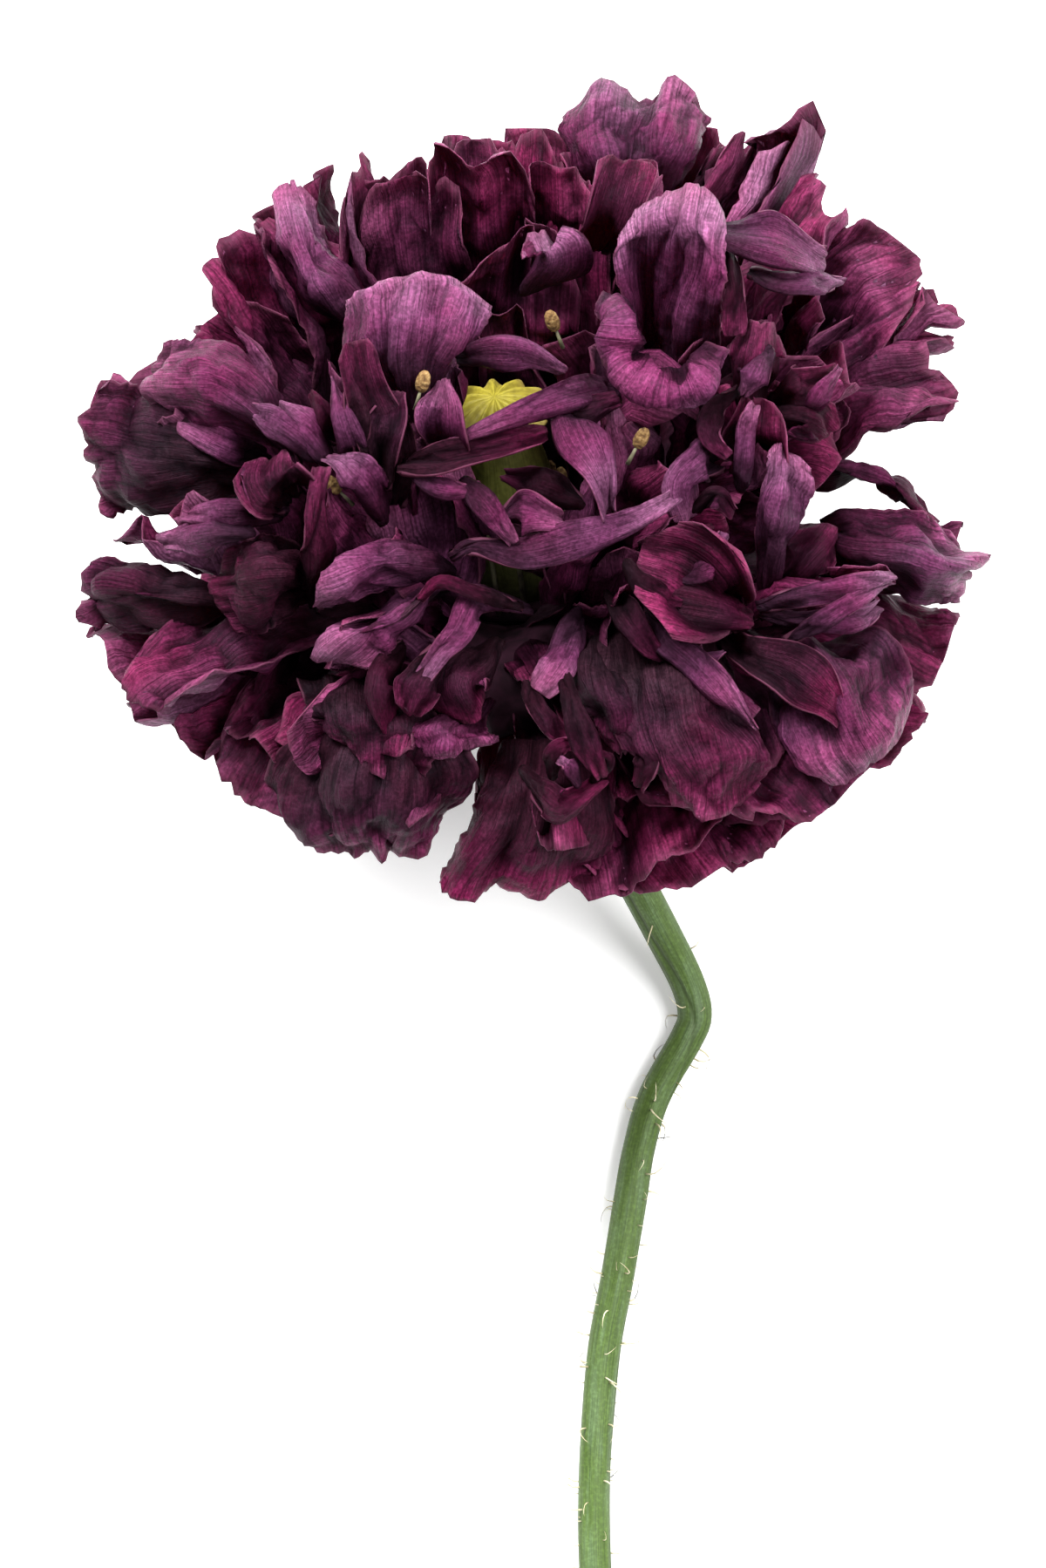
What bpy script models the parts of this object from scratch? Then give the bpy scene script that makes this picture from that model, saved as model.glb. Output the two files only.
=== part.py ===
"""Peony poppy: one double bloom on a cut stem, lying on a table and seen from above.

Lengths in the formulas are in mm, with the eye's point on the table as zero.
They become metres, centred on the part, as each mesh is made.
"""
import math

import bmesh
import bpy
import numpy as np

ELEVATION = math.radians(40)     # how far the flower's axis rises from the table
LEAN = math.radians(8)           # how far the axis leans to the left of straight up the picture
EYE = 745.0                      # height the flower is seen from, mm
MID_VIEW = 700.0                 # distance at which one picture mm is one real mm
RECEPTACLE = np.array([-0.2, 22.2, 37.0])   # top of the stem, mm, from the point under the eye
UPHILL = np.array([-math.sin(LEAN), math.cos(LEAN), 0.0])   # the way the flower faces, seen from above
UPWARD = np.array([0.0, 0.0, 1.0])
AXIS = math.cos(ELEVATION) * UPHILL + math.sin(ELEVATION) * UPWARD
FRONT = math.cos(ELEVATION) * UPWARD - math.sin(ELEVATION) * UPHILL
RIGHT = np.cross(AXIS, FRONT)
PETAL_T = 0.7                    # thickness of a petal, mm
PETAL_ROOT_R = 9.7               # ring the petals are rooted on, mm from the axis
CLEAR_R = 8.7                    # space kept round the seed head, mm from the axis

NARROWEST = 18.0                 # narrower petals are too slight to be blades of their own, mm
MIDDLE = np.array([0.8, -13.8, 0])   # middle of the part on the table, mm from the point under the eye

# Petals, by hand from the picture. Each row: where the tip shows (right, up) and its height,
# width, how far the middle line leaves and arrives off the straight (+ is out at the root, in at
# the tip), turn and length of the rolled lip, twist, cup across, ruffles and their depth, turn of
# the root round the axis, sideways bend, width at the root as a share, and where it opens out.
PETALS = (
    # Back row, left half.
    (-33.8, 62.8, 50, 24, 5, 5, 0, 0, 0, 30, 1, 30, 15, 2, 0.2, 0),
    (-31.5, 65, 46, 18, 5, 5, 0, 0, 20, 20, 1.4, 40, 0, 0, 0.2, 0),
    (-26.5, 68.8, 50, 22, 10, 10, 0, 0, -20, 30, 1.2, 40, -15, -2, 0.2, 0.2),
    (-23.2, 69.8, 49, 12, 5, 5, 0, 0, 50, 60, 1, 40, 0, 0, 0.2, 0),
    (-20.2, 70.8, 54, 9, 0, 0, 0, 0, 80, 90, 1, 30, 0, 0, 0.2, 0.2),
    (-16.5, 69.4, 52, 22, 5, 5, 0, 0, 0, 20, 2, 50, 15, 0, 0.2, 0),
    (-13, 69.8, 55, 13, 0, 0, 0, 0, -40, 70, 0.8, 30, 0, 0, 0.2, 0),
    (-7.3, 73.5, 44, 18, 0, 0, 0, 0, 10, 10, 2.4, 65, 0, 0, 0.2, 0),
    (-2, 74.8, 40, 22, 0, 0, 0, 0, 0, 20, 2.4, 65, 0, 0, 0.2, 0),
    (-5.5, 68.8, 56, 16, 10, 10, 60, 4, 20, 40, 1.8, 55, -20, 2, 0.2, 0),
    (2.2, 75.2, 36, 16, 0, 0, 0, 0, -20, 20, 2, 60, 0, 0, 0.2, 0),
    # Back row, right half.
    (9, 80.2, 30, 20, 0, 0, 0, 0, 0, -30, 1.4, 35, 0, 0, 0.2, 0),
    (17.5, 80.5, 28, 18, 5, 5, 0, 0, -20, 20, 1.6, 45, 20, 0, 0.2, 0),
    (21.5, 75.5, 26, 14, 0, 0, 0, 0, 20, 20, 1.6, 50, 0, 0, 0.2, 0),
    (23.8, 73, 30, 10, 0, 0, 0, 0, 30, 90, 1, 30, 0, 0, 0.2, 0),
    (26.2, 74.2, 34, 10, 0, 0, 0, 0, 60, 80, 1, 30, 0, 0, 0.2, 0),
    (28.8, 74.5, 36, 12, 0, 0, 0, 0, -30, 90, 1, 30, 0, 0, 0.2, 0),
    (30.5, 71.8, 38, 13, 20, 20, 60, 4, 10, 90, 1.6, 60, 0, 0, 0.2, 0),
    (35, 68.8, 44, 24, 5, 5, 0, 0, 0, 20, 2, 50, -20, -2, 0.2, 0),
    (38.2, 59.8, 42, 16, 0, 0, 0, 0, 10, 30, 1.4, 45, 20, 0, 0.2, 0),
    # Right side.
    (44.5, 60.8, 48, 26, 5, 5, 0, 0, 10, 50, 1.4, 45, -15, 3, 0.2, 0),
    (49.2, 55.2, 46, 16, 0, 0, 0, 0, -20, 30, 2, 60, 0, 0, 0.2, 0),
    (49.2, 50.2, 50, 20, 0, 0, 0, 0, 0, 30, 2, 60, 15, 0, 0.2, 0),
    (45, 46.2, 54, 17, -10, -20, -50, 4, 0, -30, 1.4, 50, 0, 0, 0.2, 0),
    (35.8, 45.8, 56, 15, 0, 0, 0, 0, 0, -40, 1.4, 45, 0, 0, 0.2, 0),
    (51.2, 26, 52, 13, 0, 0, 0, 0, 20, -30, 1.4, 50, 0, 0, 0.2, 0),
    (53, 23.8, 54, 18, 5, 5, 0, 0, 10, 40, 1.6, 50, 0, -3, 0.2, 0),
    (48, 14, 54, 32, -10, -10, 0, 0, 0, -30, 1.2, 30, 0, 0, 0.2, 0),
    (45.5, 8.5, 62, 34, -25, -25, 0, 0, 0, -55, 0.8, 20, 0, 0, 0.2, 0),
    (38.5, 0.7, 66, 36, -25, -25, 0, 0, 0, -55, 0.8, 20, 0, 0, 0.2, 0),
    (45.5, 6, 50, 30, -10, -10, 0, 0, 0, -20, 2, 50, 0, 0, 0.2, 0),
    # Front row.
    (36, -0.8, 56, 32, -10, -10, 0, 0, 0, -30, 1.4, 34, 0, 0, 0.2, 0),
    (29.5, -6, 56, 32, -10, -10, 0, 0, 0, -20, 1.4, 34, 0, 0, 0.2, 0),
    (23, -10, 60, 34, -10, -10, 0, 0, 0, -20, 1.4, 34, 0, 0, 0.2, 0),
    (12, -10.8, 64, 34, -10, -10, 0, 0, 0, -20, 1.4, 34, 0, 0, 0.2, 0),
    (4, -12, 70, 36, -10, -15, 0, 0, 10, 20, 1.4, 34, 0, 0, 0.2, 0),
    (-1, -11.2, 66, 18, -10, -15, 0, 0, 0, 30, 1, 30, 0, 0, 0.2, 0),
    (-21.5, -7.5, 66, 30, -25, -25, 0, 0, 0, -50, 1.4, 34, 0, 0, 0.2, 0),
    (-26.2, -5.2, 60, 30, -20, -20, 0, 0, 0, -40, 1.4, 34, 0, 0, 0.2, 0),
    (-15.2, -6.2, 66, 10, -20, -20, 0, 0, 0, -40, 1.4, 35, 0, 0, 0.2, 0),
    # Left side.
    (-33, 1, 56, 22, -15, -15, 0, 0, 0, -30, 1.4, 34, 0, 0, 0.2, 0),
    (-40.2, 6.8, 54, 18, -10, -10, 0, 0, 0, -20, 2.2, 65, 20, 0, 0.2, 0),
    (-45, 10.2, 54, 16, 5, 5, 0, 0, 0, 20, 2.2, 65, -20, 0, 0.2, 0),
    (-48.5, 14.3, 54, 12, 0, 0, 0, 0, 20, 60, 1.6, 50, 0, 0, 0.2, 0),
    (-43.5, 13, 66, 16, -20, -30, -60, 4, 0, -30, 1.8, 55, 0, 0, 0.2, 0),
    (-51, 20, 56, 24, 5, 5, 0, 0, 0, 50, 1, 30, -10, 2, 0.2, 0),
    (-50.2, 30.2, 54, 20, 0, 0, 0, 0, 0, 20, 2.2, 55, 0, 0, 0.2, 0),
    (-51.6, 37, 56, 34, 5, 5, 0, 0, 0, 30, 1.8, 40, 10, 0, 0.2, 0),
    (-48.8, 43.8, 54, 20, 0, 0, 0, 0, 20, 30, 2, 55, 0, 0, 0.2, 0),
    (-45, 47, 50, 18, 0, 0, 0, 0, 0, 20, 2, 55, -15, 0, 0.2, 0),
    (-38.5, 51.5, 50, 26, 5, 5, 0, 0, 0, 20, 2, 50, 15, -2, 0.2, 0),
    (-41.2, 49, 66, 20, -10, -40, -50, 5, 10, -60, 1, 30, 0, 0, 0.2, 0.3),
    (-36.5, 53.5, 50, 16, 0, 0, 0, 0, -20, 50, 1.6, 50, 0, 0, 0.2, 0),
    (-41, 43, 66, 11, 5, 5, 0, 0, 60, 80, 1, 40, 0, 0, 0.2, 0),
    # Second row, left side to right and round the front.
    (-34.4, 22.8, 70, 24, -20, -70, -60, 6, 0, -80, 0.8, 25, 0, 0, 0.2, 0.3),
    (-44.8, 28, 62, 14, 10, 10, 0, 0, 20, 60, 2, 60, -25, 0, 0.2, 0),
    (-39.5, 30.2, 68, 10, 10, 10, 0, 0, 50, 90, 1.2, 45, 0, 0, 0.2, 0),
    (-30, 37.5, 68, 11, 10, 10, 0, 0, 40, 110, 1, 40, 0, 0, 0.2, 0),
    (-25.5, 38.2, 70, 10, 5, 5, 0, 0, 50, 120, 1, 40, 0, 0, 0.2, 0),
    (-23.2, 32, 72, 9, 20, 20, 0, 0, 70, 100, 1, 40, 0, 0, 0.2, 0),
    (-27, 43.8, 68, 12, 10, 10, 0, 0, 50, 60, 1.2, 50, 20, 2, 0.2, 0.2),
    (-20.2, 47.5, 66, 9, 5, 5, 0, 0, 50, 110, 1, 40, 0, 0, 0.2, 0),
    (-15.5, 45, 66, 9, 20, 20, 0, 0, 50, 110, 1, 40, 0, 0, 0.2, 0.2),
    (-12.4, 57.8, 76, 22, 20, -10, 0, 0, 0, -60, 0.6, 15, 0, 0, 0.25, 0.45),
    (-0.8, 63.2, 58, 20, 10, 10, 0, 0, 0, -30, 1.6, 50, 25, 3, 0.2, 0),
    (1.4, 65, 56, 10, 0, 0, 0, 0, 40, 90, 1, 40, 0, 0, 0.2, 0),
    (18.5, 67.8, 72, 20, 15, -5, 0, 0, 0, -45, 0.8, 30, 0, 0, 0.25, 0.3),
    (17, 45.4, 66, 13, 35, -80, -80, 4, 0, -70, 1, 30, 0, 0, 0.3, 0.4),
    (3.2, 70.4, 52, 18, 5, 5, 0, 0, 10, 50, 1.4, 50, -25, 0, 0.2, 0),
    (9, 69.8, 48, 16, 5, 5, 0, 0, 0, 50, 2, 60, 20, 0, 0.2, 0),
    (11.8, 70.8, 50, 12, 5, 5, 0, 0, -30, 80, 1, 40, 0, 0, 0.2, 0),
    (29.5, 61.5, 62, 18, 10, -20, -60, 5, 0, -30, 1.8, 55, -25, -3, 0.2, 0.2),
    (35.5, 56, 62, 13, 5, 5, 0, 0, 40, 70, 1.6, 55, 25, 0, 0.2, 0),
    (24.6, 51.5, 66, 9, 10, 10, 0, 0, 30, 110, 1, 40, 0, 0, 0.2, 0),
    (28, 52.8, 66, 15, 10, 10, 0, 0, 0, -80, 1.2, 40, -20, 3, 0.2, 0.2),
    (34.5, 50, 66, 14, 10, 10, 0, 0, -30, 70, 1.6, 50, 20, 0, 0.2, 0),
    (26.2, 43, 70, 14, 30, 20, 0, 0, 0, 120, 1, 40, 0, 0, 0.25, 0.3),
    (31.2, 38, 64, 12, 20, -30, -60, 5, 0, -80, 1.2, 40, 0, 0, 0.2, 0.2),
    (30.5, 45, 66, 11, 10, 10, 0, 0, 30, 90, 1.4, 50, 0, 0, 0.2, 0),
    (33.5, 43, 64, 11, 10, 10, 0, 0, 30, 90, 1.4, 50, 0, 0, 0.2, 0),
    (13.5, 27.8, 70, 12, 40, 20, 0, 0, 0, 120, 1, 30, 0, 0, 0.25, 0.3),
    (23.2, 26, 70, 10, 30, 0, 0, 0, 40, 80, 1.2, 45, 0, 0, 0.25, 0.3),
    (27.2, 31, 68, 15, 30, -20, 0, 0, 0, -70, 1.2, 40, 0, 0, 0.25, 0.3),
    (26.2, 20, 70, 10, 30, 0, 0, 0, 40, 80, 1.4, 50, 0, 0, 0.2, 0.2),
    (41.2, 22, 72, 14, 5, 0, 0, 0, 20, 40, 2.4, 70, 0, 0, 0.2, 0.2),
    (35.8, 8.6, 66, 10, 0, -20, 0, 0, 40, 90, 1, 40, 0, 0, 0.2, 0.2),
    (20, 14.8, 72, 9, 30, 0, 0, 0, 40, 90, 1.2, 45, 0, 0, 0.2, 0.2),
    (26.6, 7.2, 70, 9, 10, -30, 0, 0, 30, -90, 1, 35, 0, 0, 0.2, 0.3),
    (20.8, -3, 72, 30, -10, -35, 0, 0, 0, -50, 1.4, 40, 0, 0, 0.2, 0),
    (26, 0, 66, 24, -10, -30, 0, 0, 0, -50, 1.6, 40, 25, 2, 0.2, 0),
    (5, -2.5, 66, 20, 0, -10, -40, 5, 0, 40, 2.6, 75, 20, 0, 0.2, 0.2),
    (10, 3.5, 68, 12, 0, -20, 0, 0, 20, 90, 2, 60, 0, 0, 0.2, 0.2),
    (13.8, -0.5, 66, 12, -10, -20, 0, 0, 40, -60, 1.6, 50, 0, 0, 0.2, 0.2),
    (-22.5, 15.8, 75, 22, -10, -40, 0, 0, 0, -60, 0.8, 25, -20, 3, 0.2, 0.35),
    (-19.5, 14, 72, 10, 10, -20, 0, 0, 60, -70, 1, 40, 0, 0, 0.2, 0.2),
    (-15.5, 7.2, 70, 16, 0, -20, -50, 4, 0, 50, 1.8, 55, 20, 0, 0.2, 0.2),
    (-8.5, 4.2, 68, 19, 0, -20, -50, 4, 0, 40, 1.8, 55, -15, 0, 0.2, 0.2),
    (-25.8, 1.8, 66, 14, -10, -20, 0, 0, 50, 60, 1.6, 55, 30, 0, 0.2, 0),
    (-31.5, 4.2, 62, 17, -10, -20, 0, 0, 0, 40, 1.8, 55, -20, 0, 0.2, 0),
    (9, 43, 68, 6, 20, 15, 0, 0, 0, -60, 1, 30, -60, -6, 0.3, 0.2),
    (-8.8, 38.5, 68, 8, 20, -10, 0, 0, 20, -80, 1, 30, 80, 0, 0.3, 0.1),
    (-6.8, 49.2, 64, 9, 15, -10, 0, 0, 20, -70, 1, 30, -50, 0, 0.3, 0.2),
    (-14.5, 35.2, 68, 12, 20, -20, 0, 0, 30, -60, 1.2, 40, 20, 0, 0.3, 0.2),
    (-9.2, 46.8, 64, 8, 15, 0, 30, 3, 40, 100, 1, 30, 0, 0, 0.3, 0.3),
    (20, 32.2, 72, 12, 30, -10, 0, 0, 30, -60, 1.2, 40, -40, 2, 0.3, 0.2),
    (-8, 26.4, 70, 9, 30, -20, 0, 0, 20, -70, 1.2, 40, 60, 0, 0.3, 0.2),
    (4, 31, 66, 7, 40, 0, 0, 0, 20, -60, 1.4, 40, 0, 0, 0.2, 0.2),
    # Small ones round the seed head.
    (-11, 38, 66, 9, 15, 0, 0, 0, 40, 100, 1.4, 50, 0, 0, 0.3, 0.2),
    (-7.5, 34, 68, 9, 20, -10, 0, 0, -30, -80, 1.4, 50, 30, 1, 0.3, 0.2),
    (-5.2, 28.2, 70, 9, 25, -10, 0, 0, 30, -80, 1.4, 50, 50, 0, 0.3, 0.2),
    (4, 28.2, 70, 10, 25, -20, 0, 0, 30, -70, 1.4, 50, -30, 0, 0.3, 0.2),
    (10.2, 29.5, 70, 10, 20, -20, 0, 0, -30, 80, 1.4, 50, -20, 0, 0.3, 0.2),
    (11.2, 35.5, 68, 9, 15, 0, 0, 0, 40, 90, 1.4, 50, 0, 0, 0.3, 0.2),
    (12.8, 42.2, 66, 10, 15, 0, 0, 0, 30, 100, 1.4, 50, 0, 0, 0.3, 0.2),
    (10, 48, 60, 10, 10, 0, 0, 0, -30, 90, 1.6, 50, 0, 0, 0.3, 0.2),
    (5, 50.5, 58, 10, 10, 0, 0, 0, 30, 80, 1.6, 50, 0, 0, 0.3, 0.2),
    (-13.8, 40.8, 64, 10, 15, 0, 0, 0, 40, 100, 1.4, 50, 0, 0, 0.3, 0.2),
    (-10, 50.5, 58, 10, 10, 0, 0, 0, -30, 80, 1.6, 50, 0, 0, 0.3, 0.2),
    (-17, 30, 68, 10, 20, 0, 0, 0, 40, 100, 1.4, 50, 0, 0, 0.3, 0.2),
    (-13.8, 23.8, 70, 11, 25, -20, 0, 0, -40, 90, 1.4, 50, 0, 0, 0.3, 0.2),
    (-6, 20, 66, 10, 10, -30, 0, 0, 30, -70, 1.4, 50, 0, 0, 0.3, 0.2),
    (9, 18.5, 68, 8, 10, -20, 0, 0, 40, -70, 1.2, 40, 0, 0, 0.3, 0.2),
    (14.5, 23.2, 72, 11, 25, -10, 0, 0, 30, 100, 1.4, 50, 0, 0, 0.3, 0.2),
    (0.5, 12.5, 68, 12, 0, -40, 0, 0, 40, -80, 1.4, 50, 0, 0, 0.3, 0.2),
    (-19.5, 40, 66, 10, 15, 0, 0, 0, 50, 100, 1.6, 55, 0, 0, 0.3, 0.2),
    (-3, 53, 56, 11, 5, 0, 0, 0, 20, 60, 1.6, 55, 0, 0, 0.3, 0.2),
    # Under the bloom; the first three lie along the table.
    (-17, 51, -1.5, 28, 15, 40, 0, 12, 0, 0, 1, 5, 0, 0, 0.2, 0),
    (-1, 53, -1.5, 32, 15, 42, 0, 13, 0, 0, 1, 5, 0, 0, 0.2, 0),
    (16, 51, -1.5, 28, 15, 40, 0, 12, 0, 0, 1, 5, 0, 0, 0.2, 0),
    (-35, 20, 14, 28, -10, -10, 0, 0, 0, -20, 1.4, 35, 0, 0, 0.2, 0),
    (36, 20, 14, 28, -10, -10, 0, 0, 0, -20, 1.4, 35, 0, 0, 0.2, 0),
    (-12, 0, 26, 28, -10, -10, 0, 0, 0, -20, 1.4, 35, 0, 0, 0.2, 0),
)

STEM_PATH = (                    # right, up, height, radius, from the cut end to the bloom, mm
    (9.9, -110.6, 2.0, 2.0),
    (9.3, -104.0, 2.0, 2.0),
    (8.7, -93.0, 2.0, 2.0),
    (8.7, -84.0, 2.0, 2.0),
    (9.2, -76.0, 2.0, 2.05),
    (10.0, -68.0, 2.05, 2.05),
    (11.5, -60.0, 2.1, 2.1),
    (12.9, -51.0, 2.1, 2.1),
    (13.4, -44.5, 2.05, 2.0),
    (14.8, -38.0, 2.1, 2.05),
    (18.0, -30.0, 2.2, 2.2),
    (20.3, -26.0, 2.3, 2.25),
    (20.2, -23.0, 2.9, 2.2),
    (17.8, -17.5, 5.4, 2.35),
    (13.6, -10.5, 10.2, 2.4),
    (8.6, -1.5, 16.6, 2.4),
    (4.4, 8.0, 23.6, 2.5),
    (1.6, 15.2, 30.0, 2.8),
)
RECEPTACLE_SHAPE = (             # height along the flower's axis and radius, where the stem widens, mm
    (-4.5, 3.2),
    (-3.0, 4.6),
    (-1.6, 5.8),
    (0.0, 6.0),
    (0.5, 5.6),
)
SIDES = 24                       # sides of the stem
GROOVES = 6                      # grooves round the stem
GROOVE = 0.03                    # depth of the stem's grooves as a share of its radius
SOLE_SNAP = 0.0003               # petal points lower than this are pressed flat by the table, metres
MERGE = 0.000005                 # points nearer than this are one point, metres
BLADE_SAMPLES = 25               # points along and across a petal's formula
LONG_ROWS = (0, 10, 16, 20, 24)  # samples kept along a blade with a lip or one that lies on the table
SHORT_ROWS = (0, 11, 18, 24)     # samples kept along the other blades
BLADE_COLS = (0, 6, 12, 18, 24)  # samples kept across a blade

# Outlines turned round the flower's axis: radius and height, mm.
OVARY = ((0, 0.9), (2.6, 0.9), (4.3, 1.8), (5.1, 5.0), (5.5, 11.0), (5.2, 17.0), (4.3, 22.0), (3.5, 24.4))
STIGMA = ((5.9, 24.9), (6.3, 25.4), (6.0, 25.9), (4.0, 27.0), (1.8, 28.0), (0, 28.4))
COLLAR = ((4.9, 0.9), (7.1, 0.9), (7.1, 2.1), (4.9, 2.1))
CORE = (
    (6.3, -3.0), (11.0, -5.0), (21.0, -5.5), (28.0, 0.0), (28.5, 8.0),
    (24.0, 15.0), (16.0, 17.5), (8.7, 9.0), (8.7, 0.9), (6.3, 0.9),
)
RAYS = 12                        # rays on the stigma disc
RAY_HEIGHT = 0.5                 # how far a ray stands up, mm
STAMENS = 14
STAMEN_R = 6.6                   # how far the stamens stand from the axis, mm
STAMEN_TALL = (11.5, 14.5)       # shortest and longest filament, mm
FILAMENT_R = (0.42, 0.32)        # radius at its foot and its top, mm
ANTHER = ((0.62, 0.4), (0.72, 1.6), (0.5, 2.8), (0, 3.0))   # radius, and height above the filament, mm


def unit(vector):
    return vector / np.linalg.norm(vector)


def smooth(low, high, value):
    t = np.clip((value - low) / (high - low), 0, 1)
    return t * t * (3 - 2 * t)


def around(angle, length):
    """Arrow of this length square to the flower's axis; 0 is the side that faces up."""
    return length * (math.cos(angle) * FRONT + math.sin(angle) * RIGHT)


def petal_spine(tip, first, start, end, curl, lip, bend):
    """Points along a petal's middle, and the arrow across it."""
    length = np.linalg.norm(tip - first)
    ahead = (tip - first) / length
    side = np.cross(AXIS, ahead)
    if np.linalg.norm(side) < 0.25:
        side = np.cross(AXIS, first - RECEPTACLE)
    side = unit(side)
    inward = np.cross(ahead, side)
    leave = math.cos(start) * ahead - math.sin(start) * inward
    arrive = math.cos(end) * ahead + math.sin(end) * inward
    t = np.linspace(0, 1, 120)[:, None]
    handle = 0.36 * length
    points = (1 - t) ** 3 * first + 3 * (1 - t) ** 2 * t * (first + leave * handle)
    points = points + 3 * (1 - t) * t ** 2 * (tip - arrive * handle) + t ** 3 * tip
    points = points + side * bend * 4 * t * (1 - t)
    if lip > 0:
        turned = end + curl * np.linspace(0, 1, 60)[1:, None]
        steps = lip / 59 * (np.cos(turned) * ahead + np.sin(turned) * inward)
        points = np.concatenate([points, tip + np.cumsum(steps, 0)])
    return points, side


def petal_surface(spec, seed, rows, cols):
    """Grid of points, in mm, over the middle of one petal's thickness."""
    x, y, z, width, start, end, curl, lip, roll, cup, waves, ruffle, sway, bend, claw, opens = spec
    rng = np.random.default_rng(seed)
    tip = np.array([x, y, 0]) * (EYE - z) / MID_VIEW + np.array([0, 0, z])
    turn = math.atan2((tip - RECEPTACLE) @ RIGHT, (tip - RECEPTACLE) @ FRONT) + math.radians(sway)
    first = RECEPTACLE + around(turn, PETAL_ROOT_R) + AXIS
    bends = [math.radians(a) for a in (start, end, curl)]
    points, across = petal_spine(tip, first, bends[0], bends[1], bends[2], lip, bend)
    run = np.concatenate([[0], np.cumsum(np.linalg.norm(np.diff(points, axis=0), axis=1))])
    length = run[-1]
    along = np.linspace(0, 1, 241)
    spine = np.stack([np.interp(along * length, run, points[:, k]) for k in range(3)], -1)
    ahead = np.gradient(spine, axis=0)
    ahead = ahead / np.linalg.norm(ahead, axis=1)[:, None]
    side = np.repeat(across[None], len(along), 0)
    inward = np.cross(ahead, side)
    twist = math.radians(roll) * smooth(0.15, 1, along)[:, None]
    turned = side * np.cos(twist) + inward * np.sin(twist)
    inward = inward * np.cos(twist) - side * np.sin(twist)
    side = turned

    # The outline: rows end on a round, lobed margin.
    v = np.linspace(-1, 1, cols)[None, :]
    phase = rng.uniform(0, 2 * math.pi, 8)
    cap = np.clip(0.5 * width / length, 0.08, 0.5)
    margin = 1 - cap + cap * np.sqrt(1 - 0.985 * v * v)
    lobes = 0.030 * np.sin(3.1 * v + phase[0]) + 0.022 * np.sin(6.3 * v + phase[1])
    margin = margin + (lobes + 0.015 * np.sin(11 * v + phase[2])) * (1 - 0.5 * v * v)
    u = np.clip(np.linspace(0, 1, rows)[:, None] * margin, 0, 1)
    spread = np.clip((u - opens) / (0.72 - opens), 0, 1)
    half = width / 2 * (claw + (1 - claw) * np.sin(math.pi / 2 * spread) ** 1.1)

    # The cross-section: the sheet's heading is summed outwards from the middle.
    phase = rng.uniform(0, 2 * math.pi, 8)
    drift = rng.uniform(-1.4, 1.4, 4)
    grow = smooth(0.12, 0.85, u)
    heading = math.radians(cup) * v * smooth(0, 0.5, u)
    heading = heading + math.radians(ruffle) * grow * np.sin(math.pi * waves * v + phase[0] + drift[0] * u)
    heading = heading + math.radians(0.6 * ruffle) * grow ** 2 * np.sin(
        2.1 * math.pi * waves * v + phase[1] + drift[1] * u)
    rolled = rng.uniform(-0.5, 1.1, 2) * (1 - min(abs(cup), 100) / 125)
    heading = heading + grow * np.where(v > 0, rolled[0], -rolled[1]) * np.abs(v) ** 3
    step = 2 / (cols - 1)
    flat, rise = np.cos(heading), np.sin(heading)
    start_column = np.zeros((rows, 1))
    sideways = np.concatenate([start_column, np.cumsum((flat[:, 1:] + flat[:, :-1]) / 2, 1) * step], 1)
    height = np.concatenate([start_column, np.cumsum((rise[:, 1:] + rise[:, :-1]) / 2, 1) * step], 1)
    low, high = (cols - 1) // 2, cols // 2
    sideways = (sideways - (sideways[:, low:low + 1] + sideways[:, high:high + 1]) / 2) * half
    height = height - (height[:, low:low + 1] + height[:, high:high + 1]) / 2
    height = (height - 0.5 * height.mean(1, keepdims=True)) * half
    height = height + 0.022 * length * grow * np.sin(2.5 * v + phase[4] + 5 * u)
    sideways = sideways + 0.03 * length * np.sin(math.pi * u) * np.sin(phase[5])
    middle, side, inward = [np.stack([np.interp(u, along, a[:, k]) for k in range(3)], -1)
                            for a in (spine, side, inward)]
    surface = middle + side * sideways[..., None] + inward * height[..., None]

    # Petals keep clear of the seed head and its stamens, and lie flat where they meet the table.
    reach = (surface - RECEPTACLE) @ AXIS
    radial = surface - RECEPTACLE - reach[..., None] * AXIS
    radius = np.linalg.norm(radial, axis=-1)
    past = np.clip((reach - 22) / 11, 0, 1)
    clear = CLEAR_R * np.sqrt(1 - past * past)
    push = np.maximum(clear - radius, 0) / np.maximum(radius, 0.5)
    surface = surface + radial * push[..., None]
    surface[..., 2] = np.maximum(surface[..., 2], PETAL_T / 2)
    return surface


def spin(profile, sides, shape=None):
    """Points round the flower's axis for (radius, height) pairs."""
    points = []
    for i, (radius, height) in enumerate(profile):
        for k in range(sides):
            angle = 2 * math.pi * k / sides
            r, h = (radius, height) if shape is None else shape(i, radius, height, angle)
            points.append(RECEPTACLE + h * AXIS + around(angle, r))
    return np.array(points)


def ray_shape(i, radius, height, angle):
    """Radius and height on the pistil: the disc's rays stand up and its rim is scalloped."""
    ray = (1 + math.cos(RAYS * angle)) / 2
    if i < len(OVARY):
        return radius * (1 + 0.02 * ray), height
    return radius * (0.9 + 0.1 * ray), height + RAY_HEIGHT * ray * min(radius / 3, 1)


def bands(rings, sides, loop=False):
    """Quads between rings of points, and round again for a closed loop."""
    faces = []
    for i in range(rings if loop else rings - 1):
        a, b = i * sides, (i + 1) % rings * sides
        for k in range(sides):
            m = (k + 1) % sides
            faces.append((a + k, a + m, b + m, b + k))
    return faces


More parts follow.
